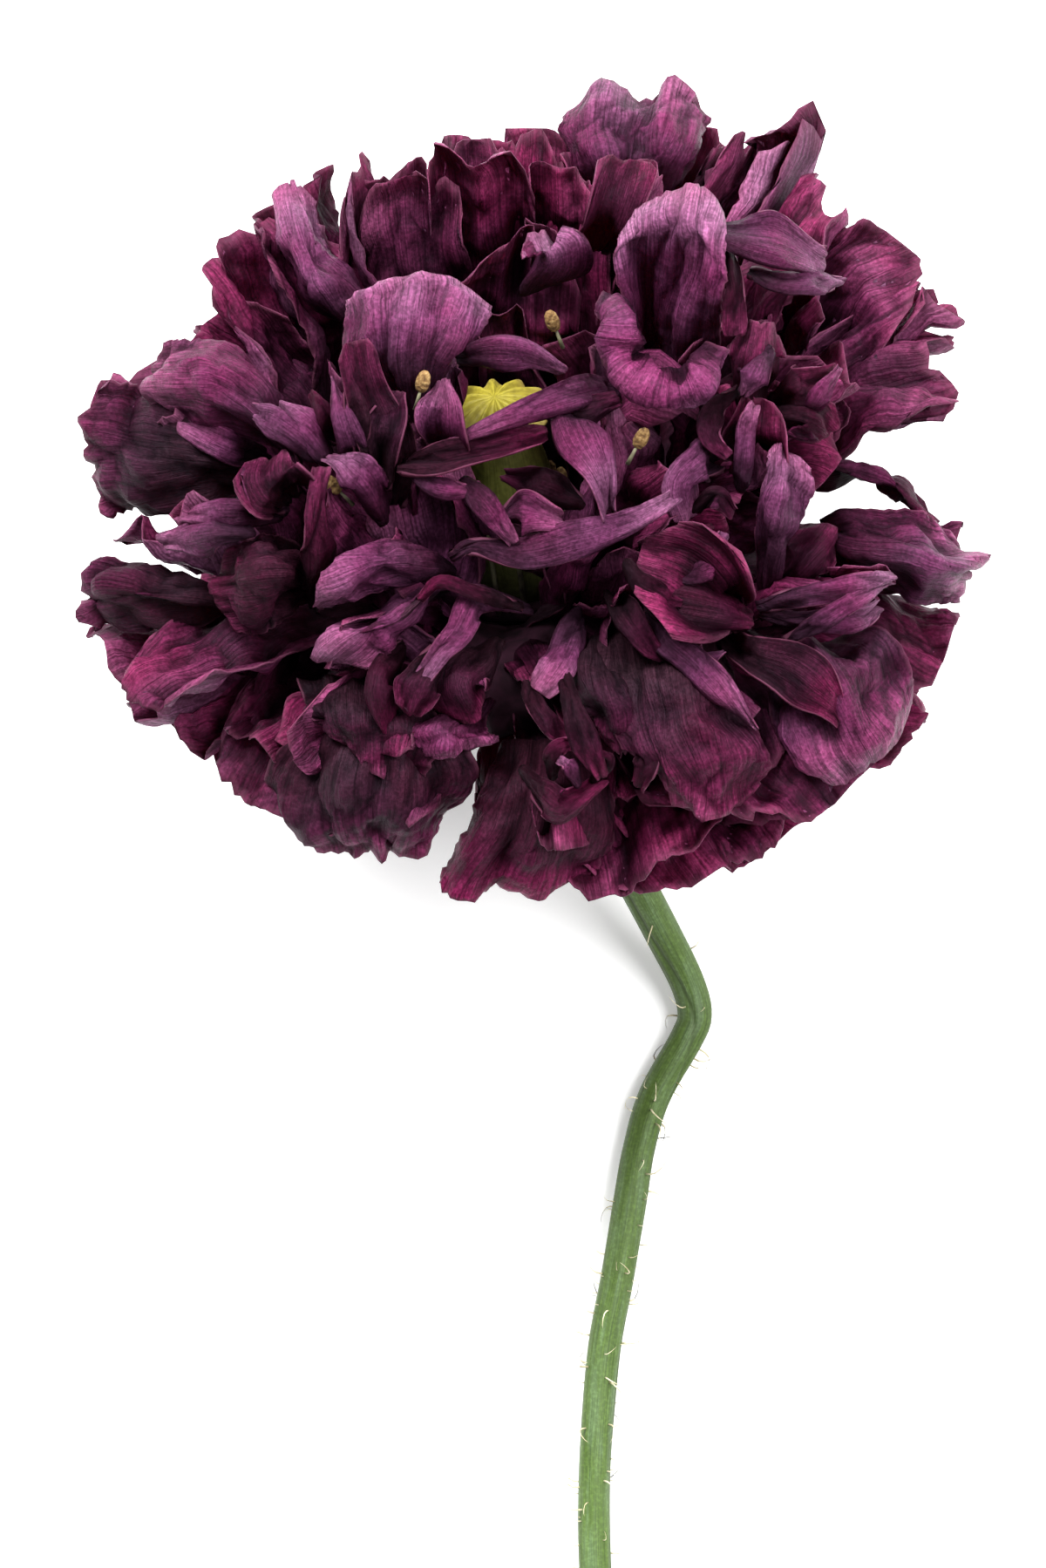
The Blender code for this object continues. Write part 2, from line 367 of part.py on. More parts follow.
def add_mesh(name, points, faces, home):
    """Object in metres, with points that share a place merged and faces turned outward."""
    shift = np.array([MIDDLE[0], MIDDLE[1], 0])
    mesh = bpy.data.meshes.new(name)
    mesh.from_pydata(((np.asarray(points) - shift) * 0.001).tolist(), [], faces)
    build = bmesh.new()
    build.from_mesh(mesh)
    bmesh.ops.remove_doubles(build, verts=build.verts, dist=MERGE)
    bmesh.ops.dissolve_degenerate(build, edges=build.edges, dist=MERGE)
    bmesh.ops.recalc_face_normals(build, faces=build.faces)
    build.to_mesh(mesh)
    build.free()
    obj = bpy.data.objects.new(name, mesh)
    home.objects.link(obj)
    return obj


def apply_modifiers(obj):
    bpy.context.view_layer.update()
    mesh = bpy.data.meshes.new_from_object(obj.evaluated_get(bpy.context.evaluated_depsgraph_get()))
    obj.modifiers.clear()
    obj.data = mesh


def fuse(base, name, extras):
    """Join a collection of overlapping pieces into the base with one union."""
    union = base.modifiers.new("union", "BOOLEAN")
    union.operation = "UNION"
    union.operand_type = "COLLECTION"
    union.collection = extras
    union.solver = "MANIFOLD"
    apply_modifiers(base)
    for piece in list(extras.objects):
        bpy.data.objects.remove(piece)
    bpy.data.collections.remove(extras)
    base.name = name
    return base


def keep_outer_skin(obj):
    """Drop the skins of pockets that the union closed off inside the piece."""
    build = bmesh.new()
    build.from_mesh(obj.data)
    left = set(build.faces)
    skins = []
    while left:
        skin = {left.pop()}
        edge = set(skin)
        while edge:
            edge = {f for face in edge for e in face.edges for f in e.link_faces} - skin
            skin |= edge
        left -= skin
        skins.append(skin)
    skins.sort(key=len)
    for skin in skins[:-1]:
        bmesh.ops.delete(build, geom=list(skin), context="FACES")
    build.to_mesh(obj.data)
    build.free()


def colour(obj, name, rgb, roughness):
    material = bpy.data.materials.new(name)
    material.use_nodes = True
    shader = material.node_tree.nodes["Principled BSDF"]
    shader.inputs["Base Color"].default_value = (*rgb, 1)
    shader.inputs["Roughness"].default_value = roughness
    shader.inputs["Metallic"].default_value = 0
    obj.data.materials.clear()
    obj.data.materials.append(material)


def new_collection(name):
    home = bpy.data.collections.new(name)
    bpy.context.scene.collection.children.link(home)
    return home


for old in list(bpy.data.objects):
    bpy.data.objects.remove(old)
flower = new_collection("peony_poppy")

# Stem: one tube with shallow grooves, ending in the receptacle that everything grows from.
path = [np.array(p[:3]) for p in STEM_PATH]
radii = [p[3] for p in STEM_PATH]
for height, radius in RECEPTACLE_SHAPE:
    path.append(RECEPTACLE + height * AXIS)
    radii.append(radius)
path = np.array(path)
heading = np.gradient(path, axis=0)
heading = heading / np.linalg.norm(heading, axis=1)[:, None]
heading[-4:] = AXIS
points = []
for place, radius, ahead in zip(path, radii, heading):
    across = unit(np.cross(ahead, np.array([0.0, 0.0, 1.0])))
    up = np.cross(across, ahead)
    for k in range(SIDES):
        angle = 2 * math.pi * k / SIDES
        r = radius * (1 - GROOVE * (1 - math.cos(GROOVES * angle)) / 2)
        points.append(place + r * (math.cos(angle) * up + math.sin(angle) * across))
faces = bands(len(path), SIDES)
faces.append(tuple(range(SIDES)))
faces.append(tuple(range((len(path) - 1) * SIDES, len(path) * SIDES)))
points = np.array(points)
points[:, 2] = np.maximum(points[:, 2], 0)
stem = add_mesh("stem", points, faces, flower)
colour(stem, "stem_green", (0.13, 0.17, 0.06), 0.55)

# Petals: blades of even thickness rooted in a ring round the receptacle, fused into one piece.
petals = add_mesh("petals", spin(CORE, 24), bands(len(CORE), 24, loop=True), flower)
blades = new_collection("blades")
for number, spec in enumerate(PETALS):
    if spec[3] < NARROWEST:
        continue
    lipped = spec[7] > 0
    surface = petal_surface(spec, 100 + number, BLADE_SAMPLES, BLADE_SAMPLES)
    rows = LONG_ROWS if lipped or spec[2] < 1 else SHORT_ROWS
    grid = surface[np.ix_(rows, BLADE_COLS)]
    faces = []
    for i in range(len(rows) - 1):
        for j in range(len(BLADE_COLS) - 1):
            a = i * len(BLADE_COLS) + j
            b = a + len(BLADE_COLS)
            faces += [(a, a + 1, b + 1), (a, b + 1, b)]
    blade = add_mesh("blade", grid.reshape(-1, 3), faces, blades)
    solid = blade.modifiers.new("thickness", "SOLIDIFY")
    solid.thickness = PETAL_T * 0.001
    solid.offset = 0
    apply_modifiers(blade)
petals = fuse(petals, "petals", blades)
keep_outer_skin(petals)
for vertex in petals.data.vertices:
    if vertex.co.z < SOLE_SNAP:
        vertex.co.z = 0
colour(petals, "petal_purple", (0.07, 0.02, 0.04), 0.6)

# Pistil: the ovary with its stigma disc, whose rays stand up and end in a scalloped edge.
sides = 4 * RAYS
profile = OVARY + STIGMA
pistil = add_mesh("pistil", spin(profile, sides, ray_shape), bands(len(profile), sides), flower)
colour(pistil, "pistil_yellow_green", (0.35, 0.30, 0.05), 0.6)

# Stamens: a collar round the ovary's foot with upright filaments, each ending in an anther.
stamens = add_mesh("stamens", spin(COLLAR, 36), bands(len(COLLAR), 36, loop=True), flower)
rods = new_collection("rods")
rng = np.random.default_rng(7)
for k in range(STAMENS):
    angle = 2 * math.pi * (k + rng.uniform(-0.15, 0.15)) / STAMENS
    tall = rng.uniform(*STAMEN_TALL)
    profile = [(0, 1.4), (FILAMENT_R[0], 1.4), (FILAMENT_R[1], tall)]
    profile += [(radius, tall + height) for radius, height in ANTHER]
    centre = around(angle, STAMEN_R)
    points = []
    for radius, height in profile:
        for m in range(6):
            points.append(RECEPTACLE + height * AXIS + centre + around(math.pi * m / 3, radius))
    add_mesh("rod", points, bands(len(profile), 6), rods)
stamens = fuse(stamens, "stamens", rods)
colour(stamens, "anther_ochre", (0.28, 0.16, 0.05), 0.7)
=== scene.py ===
import math

import bmesh
import bpy
import numpy as np
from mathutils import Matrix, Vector


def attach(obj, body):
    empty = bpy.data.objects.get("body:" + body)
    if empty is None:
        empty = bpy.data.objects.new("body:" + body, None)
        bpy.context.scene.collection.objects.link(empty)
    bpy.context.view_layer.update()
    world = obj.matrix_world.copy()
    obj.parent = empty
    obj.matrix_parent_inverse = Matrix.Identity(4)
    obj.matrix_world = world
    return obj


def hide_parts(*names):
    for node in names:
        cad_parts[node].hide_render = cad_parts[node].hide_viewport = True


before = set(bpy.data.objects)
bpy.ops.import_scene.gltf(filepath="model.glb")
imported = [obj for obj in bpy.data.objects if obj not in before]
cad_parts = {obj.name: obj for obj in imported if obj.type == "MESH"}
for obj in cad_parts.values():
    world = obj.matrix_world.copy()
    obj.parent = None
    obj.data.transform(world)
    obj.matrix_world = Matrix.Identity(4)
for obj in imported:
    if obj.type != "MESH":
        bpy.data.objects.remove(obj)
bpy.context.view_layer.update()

# ---- Petals
# The bloom of a double poppy: thin crumpled petals that unfolded from a tight bud, velvety and
# near black at the foot, purple towards the lobed margin and paler on the back. They grow from
# the receptacle in layers, the outer ones broad, the inner ones narrow and twisted.
ELEVATION = math.radians(40)     # how far the flower's axis rises from the table
LEAN = math.radians(8)           # how far the axis leans to the left of straight up the picture
EYE = 745.0                      # height the flower is seen from, mm
MID_VIEW = 700.0                 # distance at which one picture mm is one real mm
MM = 0.001                       # one mm in metres
RECEPTACLE = np.array([-0.2, 22.2, 37.0])   # top of the stem, mm, from the point under the eye
MIDDLE = np.array([0.8, -13.8, 0.0])        # middle of the flower on the table, mm, from the same point
UPWARD = np.array([0.0, 0.0, 1.0])
UPHILL = np.array([-math.sin(LEAN), math.cos(LEAN), 0.0])   # the way the flower faces, seen from above
AXIS = math.cos(ELEVATION) * UPHILL + math.sin(ELEVATION) * UPWARD
FRONT = math.cos(ELEVATION) * UPWARD - math.sin(ELEVATION) * UPHILL
RIGHT = np.cross(AXIS, FRONT)
PETAL_ROOT_R = 9.7               # ring the petals are rooted on, mm from the axis
CLEAR_R = 8.7                    # space kept round the seed head, mm from the axis
CLEAR_UP_TO = (22, 33)           # where that space begins to close and where it ends, mm up the axis
LOWEST = 0.35                    # lowest middle of a petal that lies on the table, mm
SHEET_T = 0.26                   # thickness of a petal, mm
GRID = (0.85, 0.78)              # spacing of the points along and across a petal, mm
ROWS, COLUMNS = (22, 56), (12, 50)   # fewest and most points along and across
SPINE_STEPS, LIP_STEPS, READINGS = 120, 60, 241   # points along a petal's middle line
CREASE = 1.2                     # depth of the creases against their full depth
CRUMPLE = (                      # creases: size mm, slope, how much longer than wide
    (17, 0.5, 1.8), (9, 0.5, 1.7), (5, 0.5, 1.5), (2.8, 0.42, 1.3), (1.7, 0.25, 1.1),
)
FRILL = 1.2                      # depth of the margin's frill, mm
FRILL_SIZES = (3.6, 1.7)         # mm
PAINTED_RIDGE_SHADING = 0.24               # how much lighter the creases' ridges are painted than their hollows: painted highlight and painted shade
UNEVEN = 0.12                    # how far one petal is lighter or darker than its tint
TINT_SEED = 11
TINTS = {                        # lightness and redness: dark, purple, lilac, red, violet and ruby petals
    "d": (0.12, 0.15), "n": (0.42, 0.3), "l": (0.9, 0.1), "r": (0.45, 0.7),
    "v": (0.8, 0.4), "k": (0.7, 1.0),
}

# Petals that show no fold of their own, piece by piece. Each row: random seed and tint, then where
# the tip shows (right, up) and its height, width, how far the middle line leaves and arrives off the
# straight (+ is out at the root, in at the tip), turn and length of the rolled lip, twist, cup
# across, ruffles and their depth. Four more values end a row where they aren't the usual ones: turn
# of the root round the axis, sideways bend, width at the root as a share, and where it opens out.
USUAL = (0, 0, 0.2, 0)
PETALS = (
    ("petals_top", (
        (100, "n", -33.8, 62.8, 50, 24, 5, 5, 0, 0, 0, 30, 1, 30, 15, 2),
        (101, "d", -31.5, 65, 46, 18, 5, 5, 0, 0, 20, 20, 1.4, 40),
        (103, "d", -23.2, 69.8, 49, 12, 5, 5, 0, 0, 50, 60, 1, 40),
        (104, "n", -20.2, 70.8, 54, 9, 0, 0, 0, 0, 80, 90, 1, 30, 0, 0, 0.2, 0.2),
        (105, "d", -16.5, 69.4, 52, 22, 5, 5, 0, 0, 0, 20, 2, 50, 15),
        (106, "d", -13, 69.8, 55, 13, 0, 0, 0, 0, -40, 70, 0.8, 30),
        (107, "n", -7.3, 73.5, 44, 18, 0, 0, 0, 0, 10, 10, 1.6, 45),
        (108, "r", -2, 74.8, 40, 22, 0, 0, 0, 0, 0, 20, 1.5, 42),
        (109, "n", -5.5, 68.8, 56, 16, 10, 10, 60, 4, 20, 40, 1.4, 40, -20, 2),
        (110, "r", 2.2, 75.2, 36, 16, 0, 0, 0, 0, -20, 20, 1.4, 42),
        (113, "r", 21.5, 75.5, 26, 14, 0, 0, 0, 0, 20, 20, 1.6, 50),
        (114, "n", 23.8, 73, 30, 10, 0, 0, 0, 0, 30, 90, 1, 30),
        (115, "n", 26.2, 74.2, 34, 10, 0, 0, 0, 0, 60, 80, 1, 30),
        (116, "l", 28.8, 74.5, 36, 12, 0, 0, 0, 0, -30, 90, 1, 30),
        (117, "n", 30.5, 71.8, 38, 13, 20, 20, 60, 4, 10, 90, 1.6, 60),
        (118, "r", 35, 68.8, 44, 24, 5, 5, 0, 0, 0, 20, 2, 50, -20, -2),
        (119, "r", 38.2, 59.8, 42, 16, 0, 0, 0, 0, 10, 30, 1.4, 45, 20),
    )),
    ("petals_right", (
        (120, "n", 44.5, 60.8, 48, 26, 5, 5, 0, 0, 10, 50, 1.4, 45, -15, 3),
        (121, "n", 49.2, 55.2, 46, 16, 0, 0, 0, 0, -20, 30, 2, 60),
        (122, "d", 49.2, 50.2, 50, 20, 0, 0, 0, 0, 0, 30, 2, 60, 15),
        (123, "d", 45, 46.2, 54, 17, -10, -20, -50, 4, 0, -30, 1.4, 50),
        (124, "d", 35.8, 45.8, 56, 15, 0, 0, 0, 0, 0, -40, 1.4, 45),
        (125, "d", 51.2, 26, 52, 13, 0, 0, 0, 0, 20, -30, 1.4, 50),
        (127, "n", 48, 14, 54, 32, -10, -10, 0, 0, 0, -30, 1.2, 30),
        (129, "n", 38.5, 0.7, 66, 36, -25, -25, 0, 0, 0, -55, 0.8, 20),
        (130, "r", 45.5, 6, 50, 30, -10, -10, 0, 0, 0, -20, 2, 50),
    )),
    ("petals_front", (
        (131, "r", 36, -0.8, 56, 32, -10, -10, 0, 0, 0, -30, 1.4, 34),
        (132, "r", 29.5, -6, 56, 32, -10, -10, 0, 0, 0, -20, 1.4, 34),
        (133, "r", 23, -10, 60, 34, -10, -10, 0, 0, 0, -20, 1.4, 34),
        (134, "r", 12, -10.8, 64, 34, -10, -10, 0, 0, 0, -20, 1.4, 34),
        (138, "d", -26.2, -5.2, 60, 30, -20, -20, 0, 0, 0, -40, 1.4, 34),
        (139, "d", -15.2, -6.2, 66, 10, -20, -20, 0, 0, 0, -40, 1.4, 35),
    )),
    ("petals_left", (
        (140, "n", -33, 1, 56, 22, -15, -15, 0, 0, 0, -30, 1.4, 34),
        (141, "r", -40.2, 6.8, 54, 18, -10, -10, 0, 0, 0, -20, 2.2, 65, 20),
        (142, "n", -45, 10.2, 54, 16, 5, 5, 0, 0, 0, 20, 2.2, 65, -20),
        (143, "n", -48.5, 15.2, 54, 18, 0, 0, 0, 0, 20, 60, 1.6, 50),
        (144, "n", -43.5, 13, 66, 16, -20, -30, -60, 4, 0, -30, 1.8, 55),
        (148, "n", -48.8, 43.8, 54, 20, 0, 0, 0, 0, 20, 30, 1.5, 40),
        (149, "n", -45, 47, 50, 18, 0, 0, 0, 0, 0, 20, 1.5, 40, -15),
        (150, "n", -38.5, 51.5, 50, 26, 5, 5, 0, 0, 0, 20, 1.4, 35, 15, -2),
        (152, "n", -36.5, 53.5, 50, 16, 0, 0, 0, 0, -20, 50, 1.6, 50),
        (153, "n", -41, 43, 66, 11, 5, 5, 0, 0, 60, 80, 1, 40),
    )),
    ("petals_inner_left", (
        (155, "l", -44.8, 28, 62, 14, 10, 10, 0, 0, 20, 60, 2, 60, -25),
        (156, "l", -39.5, 30.2, 68, 10, 10, 10, 0, 0, 50, 90, 1.2, 45),
        (157, "r", -30, 37.5, 68, 11, 10, 10, 0, 0, 40, 110, 1, 40),
        (158, "r", -25.5, 38.2, 70, 10, 5, 5, 0, 0, 50, 120, 1, 40),
        (159, "r", -23.2, 32, 72, 9, 20, 20, 0, 0, 70, 100, 1, 40),
        (160, "l", -27, 43.8, 68, 12, 10, 10, 0, 0, 50, 60, 1.2, 50, 20, 2, 0.2, 0.2),
        (161, "n", -20.2, 47.5, 66, 9, 5, 5, 0, 0, 50, 110, 1, 40),
        (162, "n", -15.5, 45, 66, 9, 20, 20, 0, 0, 50, 110, 1, 40, 0, 0, 0.2, 0.2),
        (164, "n", -0.8, 63.2, 58, 20, 10, 10, 0, 0, 0, -30, 1.6, 50, 25, 3),
    )),
    ("petals_inner_right", (
        (165, "n", 1.4, 65, 56, 10, 0, 0, 0, 0, 40, 90, 1, 40),
        (167, "l", 17, 45.4, 66, 13, 35, -80, -80, 4, 0, -70, 1, 30, 0, 0, 0.3, 0.4),
        (168, "r", 3.2, 70.4, 52, 18, 5, 5, 0, 0, 10, 50, 1.4, 50, -25),
        (169, "r", 9, 69.8, 48, 16, 5, 5, 0, 0, 0, 50, 2, 60, 20),
        (170, "r", 11.8, 70.8, 50, 12, 5, 5, 0, 0, -30, 80, 1, 40),
        (171, "n", 29.5, 61.5, 62, 18, 10, -20, -60, 5, 0, -30, 1.8, 55, -25, -3, 0.2, 0.2),
        (172, "n", 35.5, 56, 62, 13, 5, 5, 0, 0, 40, 70, 1.6, 55, 25),
        (173, "r", 24.6, 51.5, 66, 9, 10, 10, 0, 0, 30, 110, 1, 40),
        (174, "r", 28, 52.8, 66, 15, 10, 10, 0, 0, 0, -80, 1.2, 40, -20, 3, 0.2, 0.2),
        (175, "r", 34.5, 50, 66, 14, 10, 10, 0, 0, -30, 70, 1.6, 50, 20),
        (176, "r", 26.2, 43, 70, 14, 30, 20, 0, 0, 0, 120, 1, 40, 0, 0, 0.25, 0.3),
        (177, "r", 31.2, 38, 64, 12, 20, -30, -60, 5, 0, -80, 1.2, 40, 0, 0, 0.2, 0.2),
        (178, "r", 30.5, 45, 66, 11, 10, 10, 0, 0, 30, 90, 1.4, 50),
        (179, "r", 33.5, 43, 64, 11, 10, 10, 0, 0, 30, 90, 1.4, 50),
        (180, "r", 13.5, 27.8, 70, 12, 40, 20, 0, 0, 0, 120, 1, 30, 0, 0, 0.25, 0.3),
        (181, "r", 23.2, 26, 70, 10, 30, 0, 0, 0, 40, 80, 1.2, 45, 0, 0, 0.25, 0.3),
        (182, "r", 27.2, 31, 68, 15, 30, -20, 0, 0, 0, -70, 1.2, 40, 0, 0, 0.25, 0.3),
        (183, "l", 26.2, 20, 70, 10, 30, 0, 0, 0, 40, 80, 1.4, 50, 0, 0, 0.2, 0.2),
        (184, "l", 41.2, 22, 72, 14, 5, 0, 0, 0, 20, 40, 2.4, 70, 0, 0, 0.2, 0.2),
        (185, "r", 35.8, 8.6, 66, 10, 0, -20, 0, 0, 40, 90, 1, 40, 0, 0, 0.2, 0.2),
        (186, "l", 20, 14.8, 72, 9, 30, 0, 0, 0, 40, 90, 1.2, 45, 0, 0, 0.2, 0.2),
        (187, "l", 26.6, 7.2, 70, 9, 10, -30, 0, 0, 30, -90, 1, 35, 0, 0, 0.2, 0.3),
    )),
    ("petals_inner_front", (
        (189, "n", 26, 0, 66, 24, -10, -30, 0, 0, 0, -50, 1.6, 40, 25, 2),
        (190, "r", 5, -2.5, 66, 20, 0, -10, -40, 5, 0, 40, 2.6, 75, 20, 0, 0.2, 0.2),
        (191, "r", 10, 3.5, 68, 12, 0, -20, 0, 0, 20, 90, 2, 60, 0, 0, 0.2, 0.2),
        (192, "r", 13.8, -0.5, 66, 12, -10, -20, 0, 0, 40, -60, 1.6, 50, 0, 0, 0.2, 0.2),
        (194, "l", -19.5, 14, 72, 10, 10, -20, 0, 0, 60, -70, 1, 40, 0, 0, 0.2, 0.2),
        (195, "d", -15.5, 7.2, 70, 16, 0, -20, -50, 4, 0, 50, 1.8, 55, 20, 0, 0.2, 0.2),
        (197, "r", -25.8, 1.8, 66, 14, -10, -20, 0, 0, 50, 60, 1.6, 55, 30),
        (198, "d", -31.5, 4.2, 62, 17, -10, -20, 0, 0, 0, 40, 1.8, 55, -20),
    )),
    ("petals_centre", (
        (199, "l", 9, 43, 68, 6, 20, 15, 0, 0, 0, -60, 1, 30, -60, -6, 0.3, 0.2),
        (200, "l", -8.8, 38.5, 68, 8, 20, -10, 0, 0, 20, -80, 1, 30, 80, 0, 0.3, 0.1),
        (201, "l", -6.8, 49.2, 64, 9, 15, -10, 0, 0, 20, -70, 1, 30, -50, 0, 0.3, 0.2),
        (202, "l", -14.5, 35.2, 68, 12, 20, -20, 0, 0, 30, -60, 1.2, 40, 20, 0, 0.3, 0.2),
        (203, "l", -9.2, 46.8, 64, 8, 15, 0, 30, 3, 40, 100, 1, 30, 0, 0, 0.3, 0.3),
        (204, "l", 20, 32.2, 72, 12, 30, -10, 0, 0, 30, -60, 1.2, 40, -40, 2, 0.3, 0.2),
        (206, "l", 4, 31, 66, 7, 40, 0, 0, 0, 20, -60, 1.4, 40, 0, 0, 0.2, 0.2),
        (207, "n", -11, 38, 66, 9, 15, 0, 0, 0, 40, 100, 1.4, 50, 0, 0, 0.3, 0.2),
        (211, "r", 10.2, 29.5, 70, 10, 20, -20, 0, 0, -30, 80, 1.4, 50, -20, 0, 0.3, 0.2),
        (212, "n", 11.2, 35.5, 68, 9, 15, 0, 0, 0, 40, 90, 1.4, 50, 0, 0, 0.3, 0.2),
        (213, "n", 12.8, 42.2, 66, 10, 15, 0, 0, 0, 30, 100, 1.4, 50, 0, 0, 0.3, 0.2),
        (214, "n", 10, 48, 60, 10, 10, 0, 0, 0, -30, 90, 1.6, 50, 0, 0, 0.3, 0.2),
        (215, "d", 5, 50.5, 58, 10, 10, 0, 0, 0, 30, 80, 1.6, 50, 0, 0, 0.3, 0.2),
        (216, "n", -13.8, 40.8, 64, 10, 15, 0, 0, 0, 40, 100, 1.4, 50, 0, 0, 0.3, 0.2),
        (217, "d", -10, 50.5, 58, 10, 10, 0, 0, 0, -30, 80, 1.6, 50, 0, 0, 0.3, 0.2),
        (218, "r", -17, 30, 68, 10, 20, 0, 0, 0, 40, 100, 1.4, 50, 0, 0, 0.3, 0.2),
        (219, "n", -13.8, 23.8, 70, 11, 25, -20, 0, 0, -40, 90, 1.4, 50, 0, 0, 0.3, 0.2),
        (221, "n", 9, 18.5, 68, 8, 10, -20, 0, 0, 40, -70, 1.2, 40, 0, 0, 0.3, 0.2),
        (222, "r", 14.5, 23.2, 72, 11, 25, -10, 0, 0, 30, 100, 1.4, 50, 0, 0, 0.3, 0.2),
        (223, "n", 0.5, 12.5, 68, 12, 0, -40, 0, 0, 40, -80, 1.4, 50, 0, 0, 0.3, 0.2),
        (224, "n", -19.5, 40, 66, 10, 15, 0, 0, 0, 50, 100, 1.6, 55, 0, 0, 0.3, 0.2),
        (225, "d", -3, 53, 56, 11, 5, 0, 0, 0, 20, 60, 1.6, 55, 0, 0, 0.3, 0.2),
    )),
    ("petals_under", (
        (226, "n", -17, 51, -1.5, 28, 15, 40, 0, 12, 0, 0, 1, 5),
        (227, "n", -1, 53, -1.5, 32, 15, 42, 0, 13, 0, 0, 1, 5),
        (228, "n", 16, 51, -1.5, 28, 15, 40, 0, 12, 0, 0, 1, 5),
        (229, "n", -35, 20, 14, 28, -10, -10, 0, 0, 0, -20, 1.4, 35),
        (230, "n", 36, 20, 14, 28, -10, -10, 0, 0, 0, -20, 1.4, 35),
        (231, "n", -12, 0, 26, 28, -10, -10, 0, 0, 0, -20, 1.4, 35),
    )),
)


def smooth(low, high, value):
    t = np.clip((value - low) / (high - low), 0, 1)
    return t * t * (3 - 2 * t)


def unit(vectors):
    return vectors / np.maximum(np.linalg.norm(vectors, axis=-1, keepdims=True), 1e-9)


def around(angle, length):
    """Arrow of this length square to the flower's axis; 0 is the side that faces up."""
    return length * (math.cos(angle) * FRONT + math.sin(angle) * RIGHT)


def placed(seen):
    """Points in space, mm, for points seen in the picture: right, up and height."""
    seen = np.array(seen, dtype=float)
    seen[..., :2] = seen[..., :2] * (EYE - seen[..., 2:]) / MID_VIEW
    return seen


def distances(line):
    """How far along a line each of its points lies."""
    return np.concatenate([[0], np.cumsum(np.linalg.norm(np.diff(line, axis=0), axis=1))])


def read_at(at, known, rows):
    """Rows of numbers that are known at some places, read at others."""
    return np.stack([np.interp(at, known, rows[:, k]) for k in range(rows.shape[1])], -1)


def margin_teeth(across, phase):
    """Small scallops along the margin, mm."""
    teeth = 0.6 * np.abs(np.sin(0.8 * across + phase[3] + np.sin(0.5 * across)))
    teeth = teeth + 0.4 * np.abs(np.sin(2.1 * across + phase[4] + np.sin(across)))
    return teeth + 0.25 * np.sin(4.3 * across + phase[5])


def hills(x, y, rng):
    """Smooth random hills and hollows, one to a unit square, from about -0.7 to 0.7."""
    x, y = x - x.min(), y - y.min()
    i, j = x.astype(int), y.astype(int)
    lean = rng.uniform(0, 2 * math.pi, (i.max() + 2, j.max() + 2))
    x, y = x - i, y - j
    ease_x, ease_y = smooth(0, 1, x), smooth(0, 1, y)
    corner = [np.cos(lean[i + a, j + b]) * (x - a) + np.sin(lean[i + a, j + b]) * (y - b)
              for a in (0, 1) for b in (0, 1)]
    near = corner[0] + ease_y * (corner[1] - corner[0])
    far = corner[2] + ease_y * (corner[3] - corner[2])
    return near + ease_x * (far - near)


def creases(u, v, rng, width, length, folds=CRUMPLE, ragged=1.0):
    """Creases and dents left from the folded bud, and the frill of the margin, mm."""
    x = v * width / 2 + 0 * u
    y = u * length + 0 * v
    sheet = 0 * x
    for spacing, slope, stretch in folds:
        bent = x + 0.3 * spacing * np.sin(y / spacing / 1.5 + rng.uniform(0, 6))
        ridge = 0.25 - np.abs(hills(bent / spacing, y / spacing / stretch, rng))
        sheet = sheet + spacing * slope * ridge * rng.choice((-1, 1))
    edge = smooth(0.72, 1, np.maximum(u, 0.96 * np.abs(v) + 0.04 * u))
    wide, fine = FRILL_SIZES
    frill = hills(x / wide + 0.4 * u, 0.6 * y / wide, rng) + 0.4 * hills(x / fine, y / fine, rng)
    frill = FRILL * ragged * frill * edge * min(1, width / 14)
    calm = 1 - (1 - ragged) * edge
    return (sheet * calm * smooth(0.05, 0.45, u) + frill) * CREASE


def twisted(side, inward, turn):
    """The arrows across and inward, turned about the way ahead."""
    return side * np.cos(turn) + inward * np.sin(turn), inward * np.cos(turn) - side * np.sin(turn)


def cross_section(heading):
    """How far a sheet reaches sideways and rises, summed outwards from its middle, per half width."""
    rows, cols = heading.shape
    low, high = (cols - 1) // 2, cols // 2
    reached = []
    for part in (np.cos(heading), np.sin(heading)):
        steps = np.cumsum((part[:, 1:] + part[:, :-1]) / 2, 1) * (2 / (cols - 1))
        total = np.concatenate([np.zeros((rows, 1)), steps], 1)
        reached.append(total - (total[:, low:low + 1] + total[:, high:high + 1]) / 2)
    return reached


def spread_out(at, known, middle, across, inward, sideways, height):
    """Grid of points that stand off a middle line by these amounts."""
    middle, across, inward = (read_at(at, known, rows) for rows in (middle, across, inward))
    return middle + across * sideways[..., None] + inward * height[..., None]


def petal_spine(tip, first, start, end, curl, lip, bend):
    """Points along a petal's middle, and the arrow across it."""
    length = np.linalg.norm(tip - first)
    ahead = (tip - first) / length
    side = np.cross(AXIS, ahead)
    if np.linalg.norm(side) < 0.25:
        side = np.cross(AXIS, first - RECEPTACLE)
    side = unit(side)
    inward = np.cross(ahead, side)
    leave = math.cos(start) * ahead - math.sin(start) * inward
    arrive = math.cos(end) * ahead + math.sin(end) * inward
    t = np.linspace(0, 1, SPINE_STEPS)[:, None]
    handle = 0.36 * length
    points = (1 - t) ** 3 * first + 3 * (1 - t) ** 2 * t * (first + leave * handle)
    points = points + 3 * (1 - t) * t ** 2 * (tip - arrive * handle) + t ** 3 * tip
    points = points + side * bend * 4 * t * (1 - t)
    if lip > 0:
        turned = end + curl * np.linspace(0, 1, LIP_STEPS)[1:, None]
        steps = lip / (LIP_STEPS - 1) * (np.cos(turned) * ahead + np.sin(turned) * inward)
        points = np.concatenate([points, tip + np.cumsum(steps, 0)])
    return points, side


